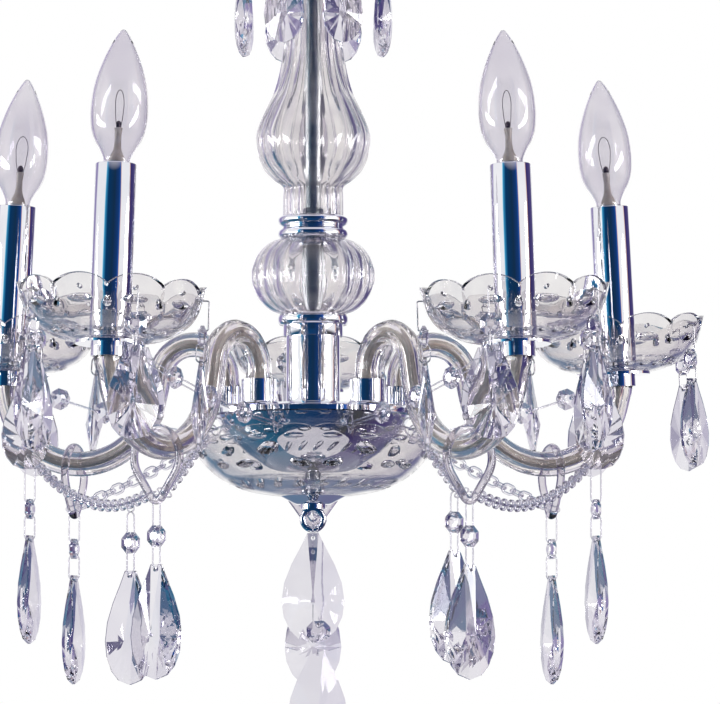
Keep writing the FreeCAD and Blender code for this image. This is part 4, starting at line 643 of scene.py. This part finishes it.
ENVELOPE = through([(8, 25.5), (8.4, 29), (11, 34.5), (14, 39.5), (16.4, 46), (17.5, 55), (17.3, 64),
                    (16.2, 73), (14, 81.5), (10.8, 90.5), (7.4, 98), (4.2, 104), (1.6, 107.6), (0.2, 108.4)], 4)
LINING = [(max(radius - 0.7, 0.1), level - (0.5 if level > 100 else 0)) for radius, level in ENVELOPE]
envelope_form = lathe("envelope_form", ENVELOPE + LINING[::-1] + [ENVELOPE[0]], 64)
cap_form = lathe("cap_form", [(0.2, 0.2), (2.6, 0.6), (4.4, 2.4)] + [
    (6.05 + 0.6 * math.cos(FULL_TURN * step / 6), 3 + step * 0.45) for step in range(43)]
    + [(6.7, 23), (6.9, 24.6), (7.9, 25.3), (7.9, 26.1), (0.2, 26.1), (0.2, 0.2)], 40)
stem_form = lathe("stem_form", [(0.2, 26.2), (5.2, 26.2)]
                  + through([(5.2, 26.2), (4.2, 30), (2.6, 34), (2, 40), (2.2, 45)], 4)[1:]
                  + [(2.6, 47.5), (0.2, 48)], 32)


def bulb_place(number):
    """Matrix from a bulb's own frame to its place, leaning a little inwards in its holder."""
    middle = Vector((0, 0, 95.5))
    turn = Matrix.Rotation(math.radians(-1.5), 3, "Y")
    origin = middle - turn @ Vector((0, 0, 12))
    return head_place(number) @ Matrix.Translation(origin * MM) @ turn.to_4x4()


def filament_form():
    """Two lead wires, a loop of fine filament between them and the dark glass bead that steadies it."""
    points = [Vector((-1.6, 0, 46)), Vector((-3.4, 0, 54)), Vector((-4.2, 0, 62))]
    points += [Vector((4.2 * math.sin(t * math.pi / 10 - math.pi / 2), 0, 62 + 9 * math.sin(t * math.pi / 10)))
               for t in range(1, 10)]
    points += [Vector((4.2, 0, 62)), Vector((3.4, 0, 54)), Vector((1.6, 0, 46))]
    loop = rod("filament_form", [point * MM for point in points], 0.22 * MM, 8)
    deselect()
    bpy.ops.mesh.primitive_uv_sphere_add(segments=20, ring_count=12, radius=MM)
    size = Matrix.Diagonal((1.9, 1.5, 2.5, 1))
    turned_out(Matrix.Translation((0, 0, 49.5 * MM)) @ size, bpy.context.object)
    loop.select_set(True)
    bpy.context.view_layer.objects.active = loop
    bpy.ops.object.join()
    return smooth(loop, 60)


filament = filament_form()
for number in range(1, ARMS + 1):
    place = head_place(number)
    finish(copy_of(drip_form, "drip_dish_%d" % number, place), pressed, "bobeche_%d" % number)
    finish(copy_of(sleeve_form, "candle_tube_%d" % number, place), chrome, "candle_sleeve_%d" % number)
    place = bulb_place(number)
    node = "bulb_%d" % number
    finish(copy_of(envelope_form, "bulb_envelope_%d" % number, place), bulb_glass, node)
    for form, piece_name, material in ((cap_form, "bulb_cap_%d", zinc), (stem_form, "bulb_stem_%d", stem_glass),
                                       (filament, "bulb_filament_%d", tungsten)):
        finish(copy_of(form, piece_name % number, place), material, body=BODY_OF[node])
for form in (drip_form, sleeve_form, envelope_form, cap_form, stem_form, filament):
    bpy.data.objects.remove(form)


# --- camera, light and floor ------------------------------------------------------------------------

scene = bpy.context.scene
camera_data = bpy.data.cameras.new("camera")
camera_data.lens = 243.5
camera_data.sensor_width = 36
camera_data.clip_end = 20
camera = bpy.data.objects.new("camera", camera_data)
scene.collection.objects.link(camera)
camera.location = (0, -3.093, HUB_Z - 0.2235)
camera.rotation_euler = (math.radians(94.80), 0, math.radians(-0.553))
scene.camera = camera
scene.view_settings.view_transform = "Standard"
scene.cycles.max_bounces = 24
scene.cycles.transmission_bounces = 20
scene.cycles.glossy_bounces = 10
scene.cycles.transparent_max_bounces = 12


def studio():
    """White seen straight; in reflections and through glass, a dark room towards the camera with white walls
    left and right, lilac edges, a dark blue floor, and thin painted rainbow glints at the edges of the dark
    stretches."""
    world = bpy.data.worlds.new("studio")
    scene.world = world
    world.use_nodes = True
    tree = world.node_tree
    tree.nodes.clear()
    ray = add(tree, "LightPath")
    spot = add(tree, "SeparateXYZ", n0=add(tree, "TexCoord").outputs["Generated"])
    back = add(tree, "Math", {"operation": "MULTIPLY"}, n0=spot.outputs["Y"], n1=-1.0)
    angle = add(tree, "Math", {"operation": "ARCTAN2"}, n0=spot.outputs["X"], n1=back.outputs[0])
    turn = add(tree, "MapRange", n0=angle.outputs[0], n1=-math.pi, n2=math.pi, n3=0.0, n4=1.0).outputs["Result"]
    # The thin cyan, orange and peach stops beside the dark stretches are painted rainbow glints: coloured light
    # standing in for the colours that cut crystal splits white light into.
    walls = ramp(tree, turn, [
        (0.0, "#FFFFFF"), (0.07, "#F4F2F8"), (0.1, "#8E83B4"), (0.15, "#A79DC6"), (0.175, "#FFFFFF"),
        (0.345, "#FFFFFF"), (0.351, "#8FE3F5"), (0.36, "#3A9BCB"), (0.4, "#0A3A66"), (0.5, "#16324F"),
        (0.57, "#173C78"), (0.597, "#2A62B4"), (0.604, "#F3B98A"), (0.61, "#FFFFFF"), (0.755, "#FFFFFF"),
        (0.764, "#EDB6A0"), (0.775, "#37306B"), (0.9, "#5B5286"), (0.93, "#FFFFFF")])
    low = ramp(tree, turn, [
        (0.0, "#76829C"), (0.15, "#3F7F9F"), (0.3, "#1F5676"), (0.45, "#0E3F6B"), (0.58, "#1E3A66"),
        (0.68, "#4A4A45"), (0.78, "#4A3F70"), (0.9, "#6B6390"), (1.0, "#76829C")])
    down = add(tree, "MapRange", n0=spot.outputs["Z"], n1=-0.3, n2=-0.16, n3=1.0, n4=0.0).outputs["Result"]
    up = add(tree, "MapRange", n0=spot.outputs["Z"], n1=0.55, n2=0.7, n3=0.0, n4=1.0).outputs["Result"]
    lower = add(tree, "Mix", {"data_type": "RGBA"}, n0=down, n6=walls, n7=low).outputs[2]
    seen = add(tree, "Mix", {"data_type": "RGBA"}, n0=up, n6=lower, n7=colour("#E9E6F0")).outputs[2]
    soft = add(tree, "Mix", {"data_type": "RGBA"}, n0=ray.outputs["Is Diffuse Ray"], n6=seen,
               n7=colour("#F2F2F4")).outputs[2]
    final = add(tree, "Mix", {"data_type": "RGBA"}, n0=ray.outputs["Is Camera Ray"], n6=soft,
                n7=colour("#FFFFFF")).outputs[2]
    background = add(tree, "Background", Color=final, Strength=1.0)
    add(tree, "OutputWorld", Surface=background.outputs[0])


studio()


def softbox(name, azimuth, distance, height, width, tall, watts):
    """Upright lamp panel that faces the middle of the light."""
    data = bpy.data.lights.new(name, "AREA")
    data.shape = "RECTANGLE"
    data.size, data.size_y, data.energy = width, tall, watts
    panel = bpy.data.objects.new(name, data)
    scene.collection.objects.link(panel)
    angle = math.radians(azimuth)
    panel.location = (distance * math.cos(angle), distance * math.sin(angle), HUB_Z + height)
    aim = Vector((0, 0, HUB_Z)) - panel.location
    panel.rotation_euler = aim.to_track_quat("-Z", "Z").to_euler()


softbox("left_panel", 195, 2.0, 0.1, 0.3, 1.6, 18)
softbox("right_panel", 332, 2.0, 0.1, 0.3, 1.6, 18)

deselect()
bpy.ops.mesh.primitive_circle_add(vertices=96, radius=0.9, fill_type="NGON", location=(0, 0, -2.3))
floor = named("floor")
paint, tree, shader, place = new_material("floor_paint")
grain = add(tree, "TexNoise", Vector=place, Scale=6.0).outputs["Fac"]
tree.links.new(ramp(tree, grain, [(0.3, "#E8E8EA"), (0.7, "#EEEEF0")]), shader.inputs["Base Color"])
shader.inputs["Roughness"].default_value = 0.8
floor.data.materials.append(paint)
